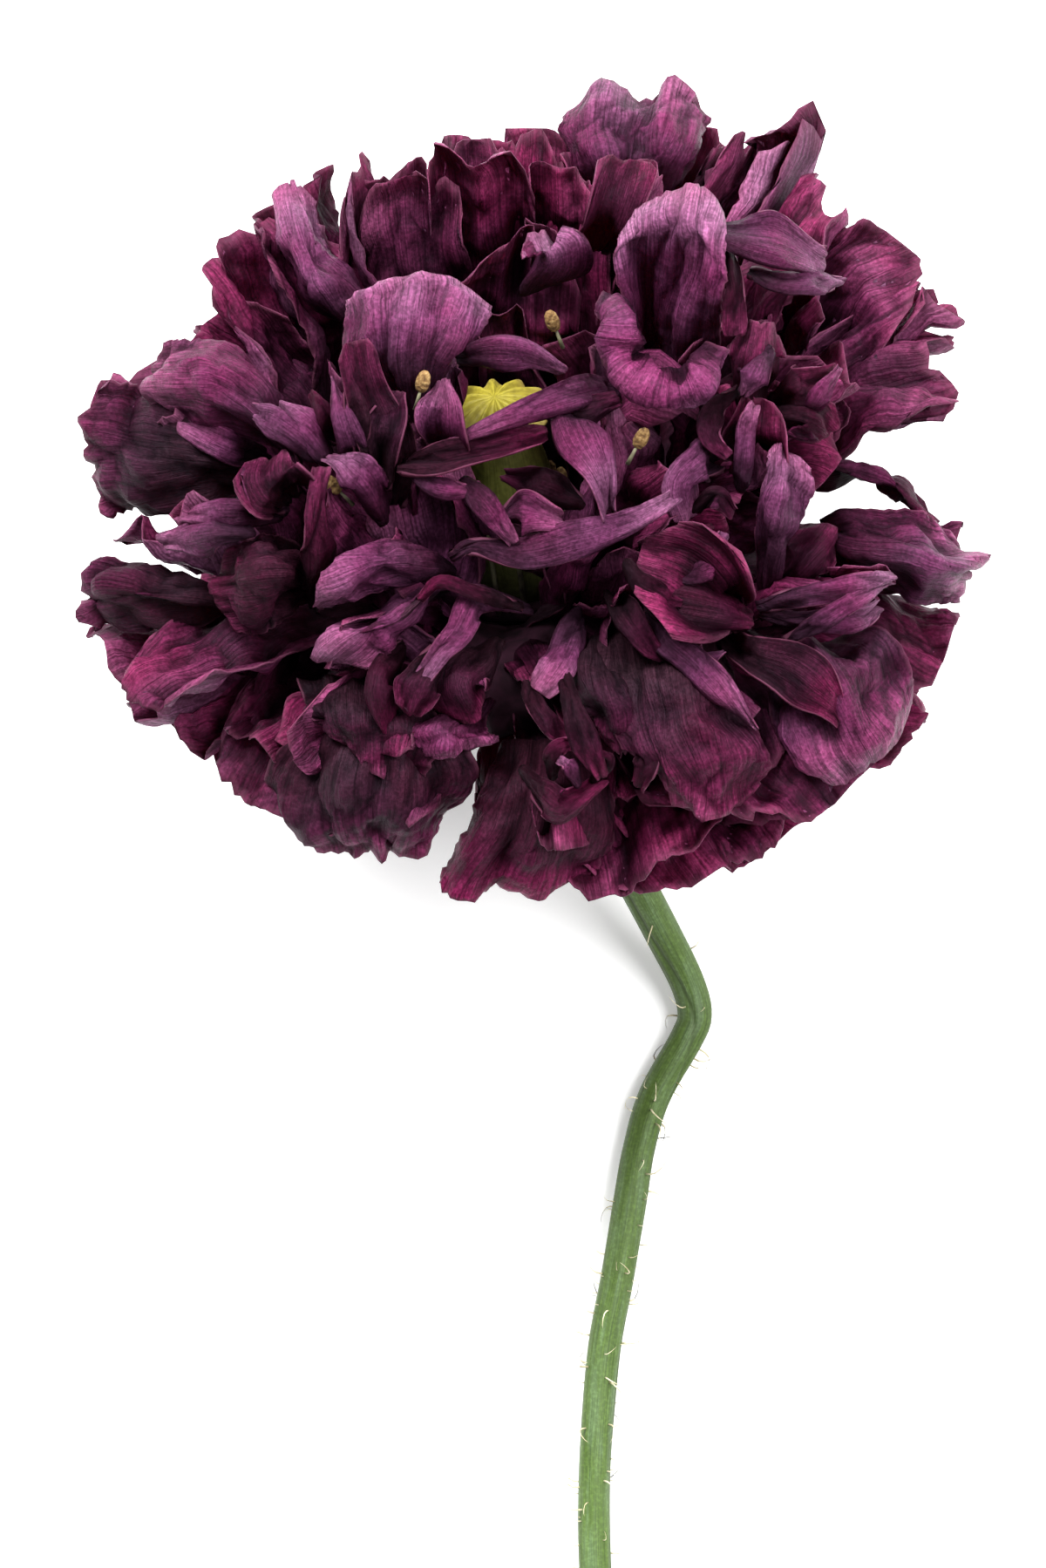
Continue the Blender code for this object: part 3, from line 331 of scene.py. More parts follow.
def petal_surface(spec, seed, rows, cols):
    """Grid of points, in mm, over a petal that is given by its tip, its width and its bends."""
    x, y, z, width, start, end, curl, lip, roll, cup, waves, ruffle, sway, bend, claw, opens = spec
    rng = np.random.default_rng(seed)
    tip = placed((x, y, z))
    turn = math.atan2((tip - RECEPTACLE) @ RIGHT, (tip - RECEPTACLE) @ FRONT) + math.radians(sway)
    first = RECEPTACLE + around(turn, PETAL_ROOT_R) + AXIS
    start, end, curl = (math.radians(a) for a in (start, end, curl))
    points, across = petal_spine(tip, first, start, end, curl, lip, bend)
    run = distances(points)
    length = run[-1]
    along = np.linspace(0, 1, READINGS)
    spine = read_at(along * length, run, points)
    ahead = unit(np.gradient(spine, axis=0))
    side = np.repeat(across[None], len(along), 0)
    twist = math.radians(roll) * smooth(0.15, 1, along)[:, None]
    side, inward = twisted(side, np.cross(ahead, side), twist)

    # The outline: rows end on a round, lobed margin.
    v = np.linspace(-1, 1, cols)[None, :]
    phase = rng.uniform(0, 2 * math.pi, 8)
    cap = np.clip(0.5 * width / length, 0.08, 0.5)
    margin = 1 - cap + cap * np.sqrt(1 - 0.985 * v * v)
    lobes = 0.030 * np.sin(3.1 * v + phase[0]) + 0.022 * np.sin(6.3 * v + phase[1])
    margin = margin + (lobes + 0.015 * np.sin(11 * v + phase[2])) * (1 - 0.5 * v * v)
    margin = margin + margin_teeth(v * width / 2, phase) / length
    u = np.clip(np.linspace(0, 1, rows)[:, None] * margin, 0, 1)
    spread = np.clip((u - opens) / (0.72 - opens), 0, 1)
    half = width / 2 * (claw + (1 - claw) * np.sin(math.pi / 2 * spread) ** 1.1)

    # The cross-section: cupped, ruffled and rolled in or out at its sides.
    phase = rng.uniform(0, 2 * math.pi, 8)
    drift = rng.uniform(-1.4, 1.4, 4)
    grow = smooth(0.12, 0.85, u)
    heading = math.radians(cup) * v * smooth(0, 0.5, u)
    first_wave = np.sin(math.pi * waves * v + phase[0] + drift[0] * u)
    heading = heading + math.radians(ruffle) * grow * first_wave
    second_wave = np.sin(2.1 * math.pi * waves * v + phase[1] + drift[1] * u)
    heading = heading + math.radians(0.6 * ruffle) * grow ** 2 * second_wave
    rolled = rng.uniform(-0.5, 1.1, 2) * (1 - min(abs(cup), 100) / 125)
    heading = heading + grow * np.where(v > 0, rolled[0], -rolled[1]) * np.abs(v) ** 3
    sideways, height = cross_section(heading)
    sideways = sideways * half + 0.03 * length * np.sin(math.pi * u) * np.sin(phase[5])
    height = (height - 0.5 * height.mean(1, keepdims=True)) * half
    height = height + 0.022 * length * grow * np.sin(2.5 * v + phase[4] + 5 * u)
    height = height + creases(u, v, rng, width, length)
    surface = spread_out(u, along, spine, side, inward, sideways, height)

    # Petals keep clear of the seed head and its stamens, and lie flat where they meet the table.
    reach = (surface - RECEPTACLE) @ AXIS
    radial = surface - RECEPTACLE - reach[..., None] * AXIS
    radius = np.linalg.norm(radial, axis=-1)
    low, high = CLEAR_UP_TO
    past = np.clip((reach - low) / (high - low), 0, 1)
    clear = CLEAR_R * np.sqrt(1 - past * past)
    push = np.maximum(clear - radius, 0) / np.maximum(radius, 0.5)
    surface = surface + radial * push[..., None]
    surface[..., 2] = np.maximum(surface[..., 2], LOWEST)
    return surface


def grid_size(length, width):
    """Rows and columns of points for a petal of this size."""
    return int(np.clip(length / GRID[0], *ROWS)), int(np.clip(width / GRID[1], *COLUMNS))


def grid_normals(grid):
    return unit(np.cross(np.gradient(grid, axis=1), np.gradient(grid, axis=0)))


def bulges(grid):
    """Where a petal stands out along its normal (up to 2) or sinks below it (down to -2)."""
    total = 0
    for step, size in ((1, 0.05), (3, 0.3)):
        wide = np.pad(grid, ((step, step), (step, step), (0, 0)), mode="reflect", reflect_type="odd")
        beside = wide[2 * step:, step:-step] + wide[:-2 * step, step:-step]
        beside = (beside + wide[step:-step, 2 * step:] + wide[step:-step, :-2 * step]) / 4
        total = total + np.clip(((grid - beside) * grid_normals(grid)).sum(-1) / size, -1, 1)
    return total


def in_scene(name, data):
    obj = bpy.data.objects.new(name, data)
    bpy.context.scene.collection.objects.link(obj)
    return obj


def add_tone(mesh, lightness, side, redness):
    """Keep three values at each point for the material to read."""
    tone = np.ones((len(mesh.vertices), 4))
    tone[:, 0], tone[:, 1], tone[:, 2] = lightness, side, redness
    layer = mesh.color_attributes.new("tone", "FLOAT_COLOR", "POINT")
    layer.data.foreach_set("color", tone.ravel())


def sheet_mesh(name, petals, material):
    """One object from petal grids, each a thin closed sheet with its own UVs and tone."""
    points, faces, uvs, tones = [], [], [], []
    base = 0
    for grid, (light, red) in petals:
        rows, cols = grid.shape[:2]
        shift = rows * cols
        u = np.linspace(0, 1, rows)[:, None] + np.zeros((1, cols))
        v = np.linspace(0, 1, cols)[None, :] + np.zeros((rows, 1))
        thin = SHEET_T * (1 - 0.45 * smooth(0.8, 1, u)) * (1 + 1.6 * (1 - smooth(0, 0.3, u)))
        offset = grid_normals(grid) * (thin / 2)[..., None]
        points.append(np.concatenate([(grid + offset).reshape(-1, 3), (grid - offset).reshape(-1, 3)]))
        index = np.arange(shift).reshape(rows, cols) + base
        a, b, c, d = index[:-1, :-1], index[:-1, 1:], index[1:, 1:], index[1:, :-1]
        faces.append(np.stack([a, b, c, d], -1).reshape(-1, 4))
        faces.append(np.stack([d, c, b, a], -1).reshape(-1, 4) + shift)
        rim = np.concatenate([index[0, :], index[1:, -1], index[-1, -2::-1], index[-2:0:-1, 0]])
        nxt = np.roll(rim, -1)
        faces.append(np.stack([nxt, rim, rim + shift, nxt + shift], -1))
        uvs.append(np.concatenate([np.stack([v, u], -1).reshape(-1, 2)] * 2))
        # Painted highlight on the ridges of the creases and painted shade in their hollows, on both faces.
        painted_ridge_shade = PAINTED_RIDGE_SHADING * bulges(grid).ravel()
        light = np.clip(light + np.concatenate([painted_ridge_shade, -painted_ridge_shade]), 0, 1.3)
        tones.append(np.stack([light, np.arange(2 * shift) < shift, np.full(2 * shift, red)], -1))
        base += 2 * shift
    points = (np.concatenate(points) - MIDDLE) * MM
    mesh = bpy.data.meshes.new(name)
    mesh.from_pydata(points.tolist(), [], np.concatenate(faces).tolist())
    layer = mesh.uv_layers.new(name="petal")
    corners = np.empty(len(mesh.loops), dtype=np.int32)
    mesh.loops.foreach_get("vertex_index", corners)
    layer.data.foreach_set("uv", np.concatenate(uvs)[corners].ravel())
    add_tone(mesh, *np.concatenate(tones).T)
    mesh.polygons.foreach_set("use_smooth", np.ones(len(mesh.polygons), dtype=bool))
    mesh.materials.append(material)
    mesh.update()
    return in_scene(name, mesh)


def feed(made, inputs):
    """Set a node's inputs to values, or link them to other nodes' outputs."""
    for socket, source in inputs.items():
        if isinstance(source, bpy.types.NodeSocket):
            made.id_data.links.new(source, made.inputs[socket])
        else:
            made.inputs[socket].default_value = source
    return made


def node(tree, kind, inputs=None, **settings):
    """New node of this kind, with its settings and its inputs."""
    made = tree.nodes.new(kind)
    for key, value in settings.items():
        setattr(made, key, value)
    return feed(made, inputs or {})


def noise(tree, vector, scale, detail=3.0, roughness=0.5, distortion=0.0, **settings):
    inputs = {"Vector": vector, "Scale": scale, "Detail": detail, "Roughness": roughness,
              "Distortion": distortion}
    return node(tree, "ShaderNodeTexNoise", inputs, **settings).outputs[0]


def maths(tree, operation, *values, **settings):
    return node(tree, "ShaderNodeMath", dict(enumerate(values)), operation=operation, **settings).outputs[0]


def stretched(tree, vector, across, along):
    """Place on the surface, scaled so that a noise runs in streaks."""
    return node(tree, "ShaderNodeMapping", {"Vector": vector, "Scale": (across, along, 1)}).outputs[0]


def remap(tree, value, low, high, to_low, to_high):
    """The value carried from one range over to another, and held at its ends."""
    return node(tree, "ShaderNodeMapRange", dict(enumerate((value, low, high, to_low, to_high)))).outputs[0]


def mix(tree, share, first, second, how="MIX"):
    """Colour between two others, or their product; plain colours are given as (r, g, b, 1)."""
    inputs = {0: share, 6: first, 7: second}
    return node(tree, "ShaderNodeMix", inputs, data_type="RGBA", blend_type=how).outputs[2]


def ramp(tree, source, stops):
    """Colour for a value, by (value, colour) stops."""
    made = node(tree, "ShaderNodeValToRGB", {0: source})
    bar = made.color_ramp
    bar.elements[0].position, bar.elements[1].position = stops[0][0], stops[-1][0]
    bar.elements[0].color, bar.elements[1].color = (*stops[0][1], 1), (*stops[-1][1], 1)
    for at, rgb in stops[1:-1]:
        bar.elements.new(at).color = (*rgb, 1)
    return made.outputs[0]


def bump(tree, height, strength, distance, **inputs):
    """Normal of a rough surface, distance in metres."""
    inputs = {"Height": height, "Strength": strength, "Distance": distance, **inputs}
    return node(tree, "ShaderNodeBump", inputs).outputs[0]


def tone_values(tree):
    """The three values kept at each point by add_tone."""
    tone = node(tree, "ShaderNodeVertexColor", layer_name="tone")
    return node(tree, "ShaderNodeSeparateColor", {0: tone.outputs["Color"]}).outputs[:3]


def name_sockets(tree, in_out, sockets):
    for name, kind in sockets:
        tree.interface.new_socket(name, in_out=in_out, socket_type="NodeSocket" + kind)


def mottling_group():
    """Shader nodes that darken and lighten a colour by a noise."""
    tree = bpy.data.node_groups.new("mottling", "ShaderNodeTree")
    name_sockets(tree, "INPUT", (
        ("Colour", "Color"), ("Place", "Vector"), ("Scale", "Float"), ("Detail", "Float"),
        ("Low", "Float"), ("High", "Float"), ("Dark", "Color"), ("Light", "Color")))
    name_sockets(tree, "OUTPUT", (("Colour", "Color"), ("Grain", "Float")))
    given = tree.nodes.new("NodeGroupInput").outputs
    grain = noise(tree, given["Place"], given["Scale"], given["Detail"])
    share = remap(tree, grain, given["Low"], given["High"], 0, 1)
    shade = mix(tree, share, given["Dark"], given["Light"])
    coloured = mix(tree, 1, given["Colour"], shade, "MULTIPLY")
    node(tree, "NodeGroupOutput", {"Colour": coloured, "Grain": grain})
    return tree


MOTTLING = mottling_group()


def mottled(tree, colour, place, scale, detail, dark, light):
    """The colour times dark where the noise is low and light where it is high, and the noise."""
    inputs = {"Colour": colour, "Place": place, "Scale": scale, "Detail": detail,
              "Low": dark[0], "Dark": (*dark[1], 1), "High": light[0], "Light": (*light[1], 1)}
    return node(tree, "ShaderNodeGroup", inputs, node_tree=MOTTLING).outputs[:2]


def fresh_material(name):
    material = bpy.data.materials.new(name)
    material.use_nodes = True
    tree = material.node_tree
    return material, tree, tree.nodes["Principled BSDF"], node(tree, "ShaderNodeTexCoord").outputs["Object"]


def petal_material():
    material, tree, shader, spot = fresh_material("petal_purple")
    uv = node(tree, "ShaderNodeUVMap", uv_map="petal").outputs[0]
    across, along = node(tree, "ShaderNodeSeparateXYZ", {0: uv}).outputs[:2]
    lightness, back_side, redness = tone_values(tree)

    # Foot to margin, first the velvety inner face, then the paler back.
    blotch = noise(tree, spot, 130, 5)
    reach = maths(tree, "MULTIPLY_ADD", blotch, 0.55, maths(tree, "SUBTRACT", along, 0.275))
    # The near-black foot is partly the petal's own dark blotch and partly painted shade deep in the bloom.
    inner = ramp(tree, reach, (
        (0.0, (0.007, 0.004, 0.005)), (0.4, (0.011, 0.004, 0.007)), (0.66, (0.019, 0.004, 0.011)),
        (0.86, (0.044, 0.007, 0.023)), (1.0, (0.085, 0.018, 0.046))))
    back = ramp(tree, reach, (
        (0.0, (0.010, 0.004, 0.008)), (0.3, (0.020, 0.006, 0.014)), (0.6, (0.048, 0.011, 0.032)),
        (0.85, (0.088, 0.030, 0.064)), (1.0, (0.116, 0.046, 0.086))))
    colour = mix(tree, back_side, inner, back)

    # Veins run along the petal, ruby patches lie over it, and fine light specks are all over.
    veins = noise(tree, stretched(tree, uv, 60, 3.2), 1, 5, 0.62, 0.6)
    streak = remap(tree, veins, 0.32, 0.68, 0.38, 1.6)
    # The petal's lightness, which carries the painted ridge highlight and hollow shade, scales the colour.
    lightness_and_ridge_shade = remap(tree, lightness, 0, 1.3, 0.42, 2.3)
    colour = mix(tree, 1, colour, maths(tree, "MULTIPLY", streak, lightness_and_ridge_shade), "MULTIPLY")
    patch = remap(tree, noise(tree, spot, 75, 4), 0.4, 0.6, -0.2, 0.55)
    ruby = maths(tree, "ADD", redness, patch, use_clamp=True)
    colour = mix(tree, ruby, colour, (1.12, 0.5, 0.76, 1), "MULTIPLY")
    colour, grain = mottled(tree, colour, spot, 2600, 2, (0.4, (0.8, 0.8, 0.8)), (0.62, (1.35, 1.35, 1.35)))

    # A thin pale band runs round the margin: a painted highlight where the thin edge catches the light.
    aside = maths(tree, "ABSOLUTE", maths(tree, "MULTIPLY_ADD", across, 2, -1))
    edge = remap(tree, maths(tree, "MAXIMUM", aside, along), 0.965, 1, 0, 0.4)
    colour = mix(tree, edge, colour, (0.17, 0.05, 0.09, 1))

    dents = noise(tree, spot, 190, 3, distortion=0.8, noise_type="RIDGED_MULTIFRACTAL")
    crumpled = bump(tree, dents, 0.8, 0.0011)
    ribbed = bump(tree, veins, 0.9, 0.0004, Normal=crumpled)
    feed(shader, {
        "Base Color": colour, "Roughness": remap(tree, back_side, 0, 1, 0.5, 0.42),
        "Specular IOR Level": 0.1, "Specular Tint": (0.85, 0.65, 0.9, 1),
        "Normal": bump(tree, grain, 0.6, 0.0001, Normal=ribbed)})
    through = node(tree, "ShaderNodeBsdfTranslucent", {"Color": (0.30, 0.008, 0.05, 1)})
    thin = node(tree, "ShaderNodeMixShader", {0: 0.16, 1: shader.outputs[0], 2: through.outputs[0]})
    feed(tree.nodes["Material Output"], {"Surface": thin.outputs[0]})
    return material


def tinted(grid, letter):
    """A petal's points with its lightness, a little uneven, and its redness."""
    light, red = TINTS[letter]
    return grid, (light + tint_rng.uniform(-UNEVEN, UNEVEN), red)


velvet = petal_material()
tint_rng = np.random.default_rng(TINT_SEED)
for name, rows in PETALS:
    petals = []
    for seed, letter, *spec in rows:
        spec = [*spec, *USUAL[len(spec) - 12:]]
        size = grid_size(math.dist(spec[:2], RECEPTACLE[:2]) + 12, spec[3])
        petals.append(tinted(petal_surface(spec, seed, *size), letter))
    piece = sheet_mesh(name, petals, velvet)
    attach(piece, "root")
    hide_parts("petals")

# ---- Folded petals
# Narrow petals and single folds of wider ones, crumpled like the rest, that stand up among the
# others and catch the light. Their feet are hidden deep in the bloom.
FOLD_SEED = 500
FINER = 0.8                      # spacing of their points, against the other petals
# The route of each one's middle from foot to tip (right, up, height), then its width, where it is
# widest, how blunt it ends, its roll at foot and tip, its cup, its ruffle and its tint.
FOLDS = (
    (((-15.3, 34, 64), (-16.8, 40, 70), (-18.5, 46, 73.65), (-19.6, 50.8, 74.2)),
     (8, 0.5, 0.6, 0, 10, 60, 20), "r"),
    (((-8.3, 48.9, 72), (-4, 49.5, 75.3), (0.5, 49.2, 75.85), (4.7, 47.3, 73.65)),
     (4.2, 0.45, 0.35, 0, 0, -50, 10), "l"),
    (((12, 45.1, 62), (8, 45.3, 73.1), (2, 43.4, 75.85), (-4.4, 40.9, 76.4), (-10, 38.5, 74.2)),
     (4.2, 0.5, 0.2, 0, 0, -50, 10), "l"),
    (((4, 43, 72), (7.2, 43, 73.65), (10.8, 44.2, 72.55)), (5, 0.4, 0.4, 0, 0, -30, 20), "n"),
    (((5.2, 43, 68), (6.8, 40, 75.3), (9, 35.5, 76.95), (9.8, 31.2, 74.2)),
     (7, 0.5, 0.25, 0, 0, -70, 8), "l"),
    (((-13.8, 36.4, 73.1), (-9, 37.4, 74.75), (-3, 38.6, 74.75), (2.4, 40, 72.55)),
     (5.6, 0.4, 0.5, 0, -10, 50, 45), "k"),
    (((-13.4, 36.6, 74.75), (-10.8, 34.4, 75.85), (-7, 33.7, 75.85), (-4.8, 34.4, 74.2)),
     (2.4, 0.5, 0.5, 0, 0, -40, 10), "l"),
    (((-3.8, 30, 74.2), (0, 31.2, 76.4), (5, 29.9, 74.2)), (5.5, 0.5, 0.5, 0, 0, -50, 15), "l"),
    (((-7, 35, 74.2), (-4, 31.7, 76.4), (-0.8, 27.5, 75.3)), (3.4, 0.5, 0.4, 0, 0, -40, 10), "l"),
    (((-8.3, 26, 72.55), (-5.5, 27.2, 74.75), (0, 26.4, 75.85), (6, 27.8, 76.4), (11.5, 29.5, 76.4),
      (15.2, 31.4, 76.95), (19, 33.8, 75.3)), (4.4, 0.5, 0.5, 0, 20, -50, 15), "l"),
    (((-8.8, 37.8, 70), (-9.7, 42, 74.75), (-9.2, 46.4, 74.2)), (7.5, 0.5, 0.25, 0, 0, 70, 20), "l"),
    (((-16, 34.8, 70), (-16, 40, 74.75), (-14.5, 45.3, 73.1)), (5, 0.55, 0.4, 0, 20, 60, 30), "n"),
    (((6.8, 32.2, 68), (2.2, 34.3, 72), (-2.6, 35.7, 70)), (4.8, 0.5, 0.3, 0, 0, -30, 15), "n"),
    (((20.5, 63.8, 73.1), (25, 62.8, 75.85), (29.5, 62, 74.75), (33.4, 60.2, 68)),
     (7, 0.5, 0.6, 0, 20, -60, 30), "l"),
    (((26.2, 58.6, 72), (30.5, 57.4, 74.2), (37, 57.8, 66)), (3.4, 0.5, 0.3, 0, 0, -40, 20), "l"),
    (((23.2, 61.5, 73.1), (24.2, 57, 75.3), (24.3, 51.4, 74.75)), (3, 0.6, 0.9, 0, 0, -60, 20), "r"),
    (((27.2, 42, 64), (26.8, 47, 73.65), (27.5, 53, 74.75)), (10, 0.5, 0.5, 0, 0, -85, 25), "r"),
    (((28, 50.2, 73.65), (26.6, 47, 76.4), (25, 44.2, 74.75)), (4.4, 0.5, 0.4, 0, 0, -60, 10), "l"),
    (((28, 43.2, 68), (31.5, 45.3, 74.2), (36.2, 47.6, 72)), (6.4, 0.5, 0.3, 0, 0, -60, 25), "r"),
    (((32.5, 42, 70), (34, 44.5, 74.2), (36.2, 47.8, 72.55)), (2.4, 0.5, 0.4, 0, 20, -30, 15), "l"),
    (((29.5, 42.2, 70), (32.8, 41.8, 73.1), (35.6, 39.5, 69)), (7, 0.6, 0.8, 0, 0, -40, 40), "r"),
    (((24.7, 45.2, 72), (22, 43, 74.2), (21.5, 40, 75.3), (23.6, 37.6, 74.75)),
     (2.6, 0.5, 0.6, 0, 30, -40, 15), "r"),
    (((24.2, 37, 70), (21.5, 37.2, 76.4), (18.4, 34.4, 75.85), (19, 30.6, 72)),
     (6.4, 0.45, 0.6, 0, 0, -70, 15), "l"),
    (((19.5, 31.2, 72.55), (22, 32.8, 75.85), (24.3, 30.6, 73.65)), (2.6, 0.5, 0.6, 0, 20, -30, 20), "r"),
    (((26.6, 34, 62), (26.8, 39, 73.1), (27.4, 43.6, 75.3)), (9, 0.62, 0.85, 0, 0, 70, 25), "r"),
    (((25, 34, 70), (25.5, 38, 75.3), (26.2, 42, 76.95), (27, 43.9, 75.85)),
     (2.8, 0.5, 0.5, 0, 20, -60, 15), "l"),
    (((28, 22, 58), (31.5, 26, 66), (34.8, 30, 62)), (9, 0.6, 0.8, 0, 0, -60, 20), "d"),
    (((25, 18.5, 64), (21.5, 21, 73.1), (18, 24.2, 75.85), (13.4, 25.8, 76.4)),
     (17, 0.8, 0.95, 0, 0, 130, 12), "r"),
    (((11.8, 25.5, 75.85), (13.3, 23.2, 76.95), (16.5, 21.4, 76.95), (19, 21, 74.75)),
     (3, 0.5, 0.5, 0, 0, -50, 12), "r"),
    (((14.5, 21, 70), (20.5, 20, 73.65), (26.6, 18.7, 70)), (7.5, 0.5, 0.3, 0, 0, -50, 20), "r"),
    (((19.8, 24.5, 73.1), (22, 25.2, 76.4), (24.2, 23.6, 73.65)), (5.4, 0.5, 0.6, 0, 0, -70, 25), "l"),
    (((20, 26.6, 73.1), (21.8, 27.2, 75.3), (23.3, 28.8, 74.2)), (2.6, 0.5, 0.6, 0, 20, -40, 20), "l"),
    (((14.5, 21, 68), (16.3, 17.2, 74.75), (19.8, 14, 76.4), (23.5, 10, 76.4), (26.8, 6.2, 73.65)),
     (5, 0.6, 0.12, 0, 0, -55, 25), "l"),
    (((10.5, 21.2, 68), (12.2, 18.8, 74.2), (14.5, 15.8, 74.75), (16.8, 14.4, 72.55)),
     (4, 0.5, 0.4, 0, 0, -40, 25), "r"),
    (((19, 14.8, 74.2), (20.8, 14.2, 75.3), (23, 15.2, 73.65)), (2, 0.4, 0.2, 0, 0, -40, 10), "l"),
    (((22, 17.8, 66), (25.8, 15, 73.1), (30.8, 13, 74.75), (34.8, 10, 74.75), (36.6, 7.6, 72.55)),
     (6.4, 0.7, 0.3, 0, 20, 50, 20), "r"),
    (((26.8, 20.3, 72), (32, 21.6, 74.75), (37.5, 22.4, 74.2), (41.4, 23.6, 70)),
     (4, 0.6, 0.5, 0, 20, -50, 30), "l"),
    (((27.4, 19.6, 70), (33, 18.6, 73.1), (38.5, 18.8, 72.55), (41.4, 20.6, 69)),
     (3.6, 0.6, 0.6, 0, 20, -50, 30), "l"),
    (((30.2, 16.4, 70), (34.5, 18.8, 74.2), (38.2, 21.2, 74.2), (40.8, 22.8, 72)),
     (2.6, 0.6, 0.4, 0, 20, -30, 20), "l"),
    (((14.2, 5, 73.1), (13.8, 2, 74.2), (12.5, -0.6, 72.55)), (4, 0.5, 0.6, 0, 30, 60, 30), "r"),
    (((6.2, 18.4, 64), (4.5, 14.5, 73.65), (1.8, 10.6, 74.2)), (5, 0.5, 0.7, 0, 0, -50, 15), "l"),
    (((4.6, 12.4, 72.55), (5.8, 8.2, 75.85), (7.2, 4.5, 75.3), (9.2, 1, 72.55)),
     (3.6, 0.6, 0.5, 0, 20, -50, 15), "r"),
    (((0.4, 11.2, 72), (2.2, 8, 74.75), (5.2, 4.8, 73.1)), (2.8, 0.6, 0.5, 0, 0, -40, 15), "r"),
    (((0, 1.2, 68), (2.2, -1.2, 73.65), (4.5, -2.6, 74.2), (9.2, 0.6, 70)),
     (4.6, 0.5, 0.5, 0, 0, -60, 25), "k"),
    (((3.4, 0.8, 70), (3.8, 3.8, 74.2), (6, 5, 73.1)), (2.6, 0.5, 0.6, 0, 30, -40, 20), "k"),
    (((6.4, -0.2, 72), (5.4, 2.2, 74.75), (4, 3.2, 73.65)), (2, 0.5, 0.6, 0, 30, -40, 20), "l"),
    (((8.2, -0.2, 70), (9.2, 2.6, 74.2), (6.8, 4.2, 72.55)), (2.8, 0.5, 0.6, 0, 30, -40, 20), "r"),
    (((0, 20.2, 70), (-5.2, 21.8, 74.75), (-9.5, 23.2, 75.3), (-12, 21, 74.2)),
     (2, 0.5, 0.5, 0, 0, -40, 8), "r"),
    (((1, 20, 62), (-4.8, 21.2, 73.1), (-7.5, 17.5, 76.4), (-10, 14.8, 76.4), (-14, 8.8, 73.1)),
     (4, 0.6, 0.5, 0, 10, -50, 20), "l"),
    (((-9.5, 15.5, 72), (-11.8, 11.5, 75.3), (-13.2, 7.6, 73.1)), (6.4, 0.6, 0.6, 0, 0, -50, 35), "r"),
    (((-13.8, 15.5, 68), (-16.2, 11.5, 73.65), (-15.6, 6.6, 70)), (5.4, 0.6, 0.3, 0, 0, -50, 30), "r"),
    (((-4, 16, 66), (-7.5, 12, 73.65), (-6, 7.8, 70)), (9, 0.6, 0.9, 0, 0, -40, 25), "n"),
    (((-24, 19.4, 62), (-23.4, 26, 73.65), (-23.8, 31, 75.85), (-23.1, 36.4, 74.75)),
     (4.2, 0.5, 0.5, 0, 20, -50, 12), "r"),
    (((-24.8, 31, 66), (-27.2, 33, 73.65), (-29.2, 35.2, 74.75), (-28.8, 38.6, 72.55)),
     (9, 0.55, 0.8, 0, 0, 80, 20), "r"),
    (((-15.5, 29.5, 66), (-17.5, 33.8, 74.75), (-20.5, 36.8, 76.4), (-23.4, 37.9, 74.2)),
     (5.6, 0.6, 0.25, 0, 0, -40, 20), "l"),
    (((-22, 37.2, 70), (-24.8, 40.8, 74.75), (-27.8, 43.4, 72.55)), (5.4, 0.6, 0.3, 0, 0, -50, 20), "l"),
    (((-24.2, 38, 70), (-27, 40.4, 74.2), (-30.8, 42.6, 71)), (3.8, 0.6, 0.4, 0, 0, -50, 20), "l"),
    (((-18.8, 37.8, 70), (-20.4, 41.5, 74.75), (-21.9, 46, 73.1)), (4.6, 0.4, 0.1, 0, 10, -50, 20), "l"),
    (((-18.2, 38, 73.1), (-19.4, 43, 75.85), (-20.6, 47.8, 74.2)), (2.8, 0.45, 0.3, 0, 20, 60, 15), "r"),
    (((-21, 39, 70), (-22.8, 42.2, 73.65), (-24.4, 44.8, 72)), (3.6, 0.5, 0.2, 0, 10, -30, 25), "r"),
    (((-31, 28.8, 70), (-36, 28.8, 72), (-42, 27.8, 66)), (5, 0.6, 0.5, 0, 0, -50, 30), "l"),
    (((-27, 31, 66), (-33, 31.2, 71), (-39.5, 30.8, 66)), (4, 0.5, 0.4, 0, 0, -50, 25), "l"),
    (((-30, 38, 60), (-34, 39.5, 68), (-39.5, 42, 66)), (6, 0.6, 0.6, 0, 0, -60, 20), "l"),
    (((1, 57, 56), (3, 60, 66), (1.8, 63.8, 66)), (8, 0.6, 0.6, 0, 10, -50, 35), "l"),
    (((18, 25.2, 47), (25, 26.4, 50), (31.5, 27.2, 48)), (9, 0.5, 0.8, 0, 0, 0, 20), "d"),
    (((9, 63, 56), (10, 66, 64), (11.5, 71, 62)), (8, 0.6, 0.7, 0, 10, 50, 25), "r"),
)

def curve_through(knots, count):
    """Even steps along the smooth curves through rows of points."""
    ends = np.concatenate([2 * knots[:1] - knots[1:2], knots, 2 * knots[-1:] - knots[-2:-1]])
    at = np.linspace(0, len(knots) - 1, count)
    i = np.minimum(at.astype(int), len(knots) - 2)
    t = (at - i).reshape((-1,) + (1,) * (knots.ndim - 1))
    a, b, c, d = (ends[i + k] for k in range(4))
    return b + 0.5 * t * (c - a + t * (2 * a - 5 * b + 4 * c - d + t * (3 * (b - c) + d - a)))


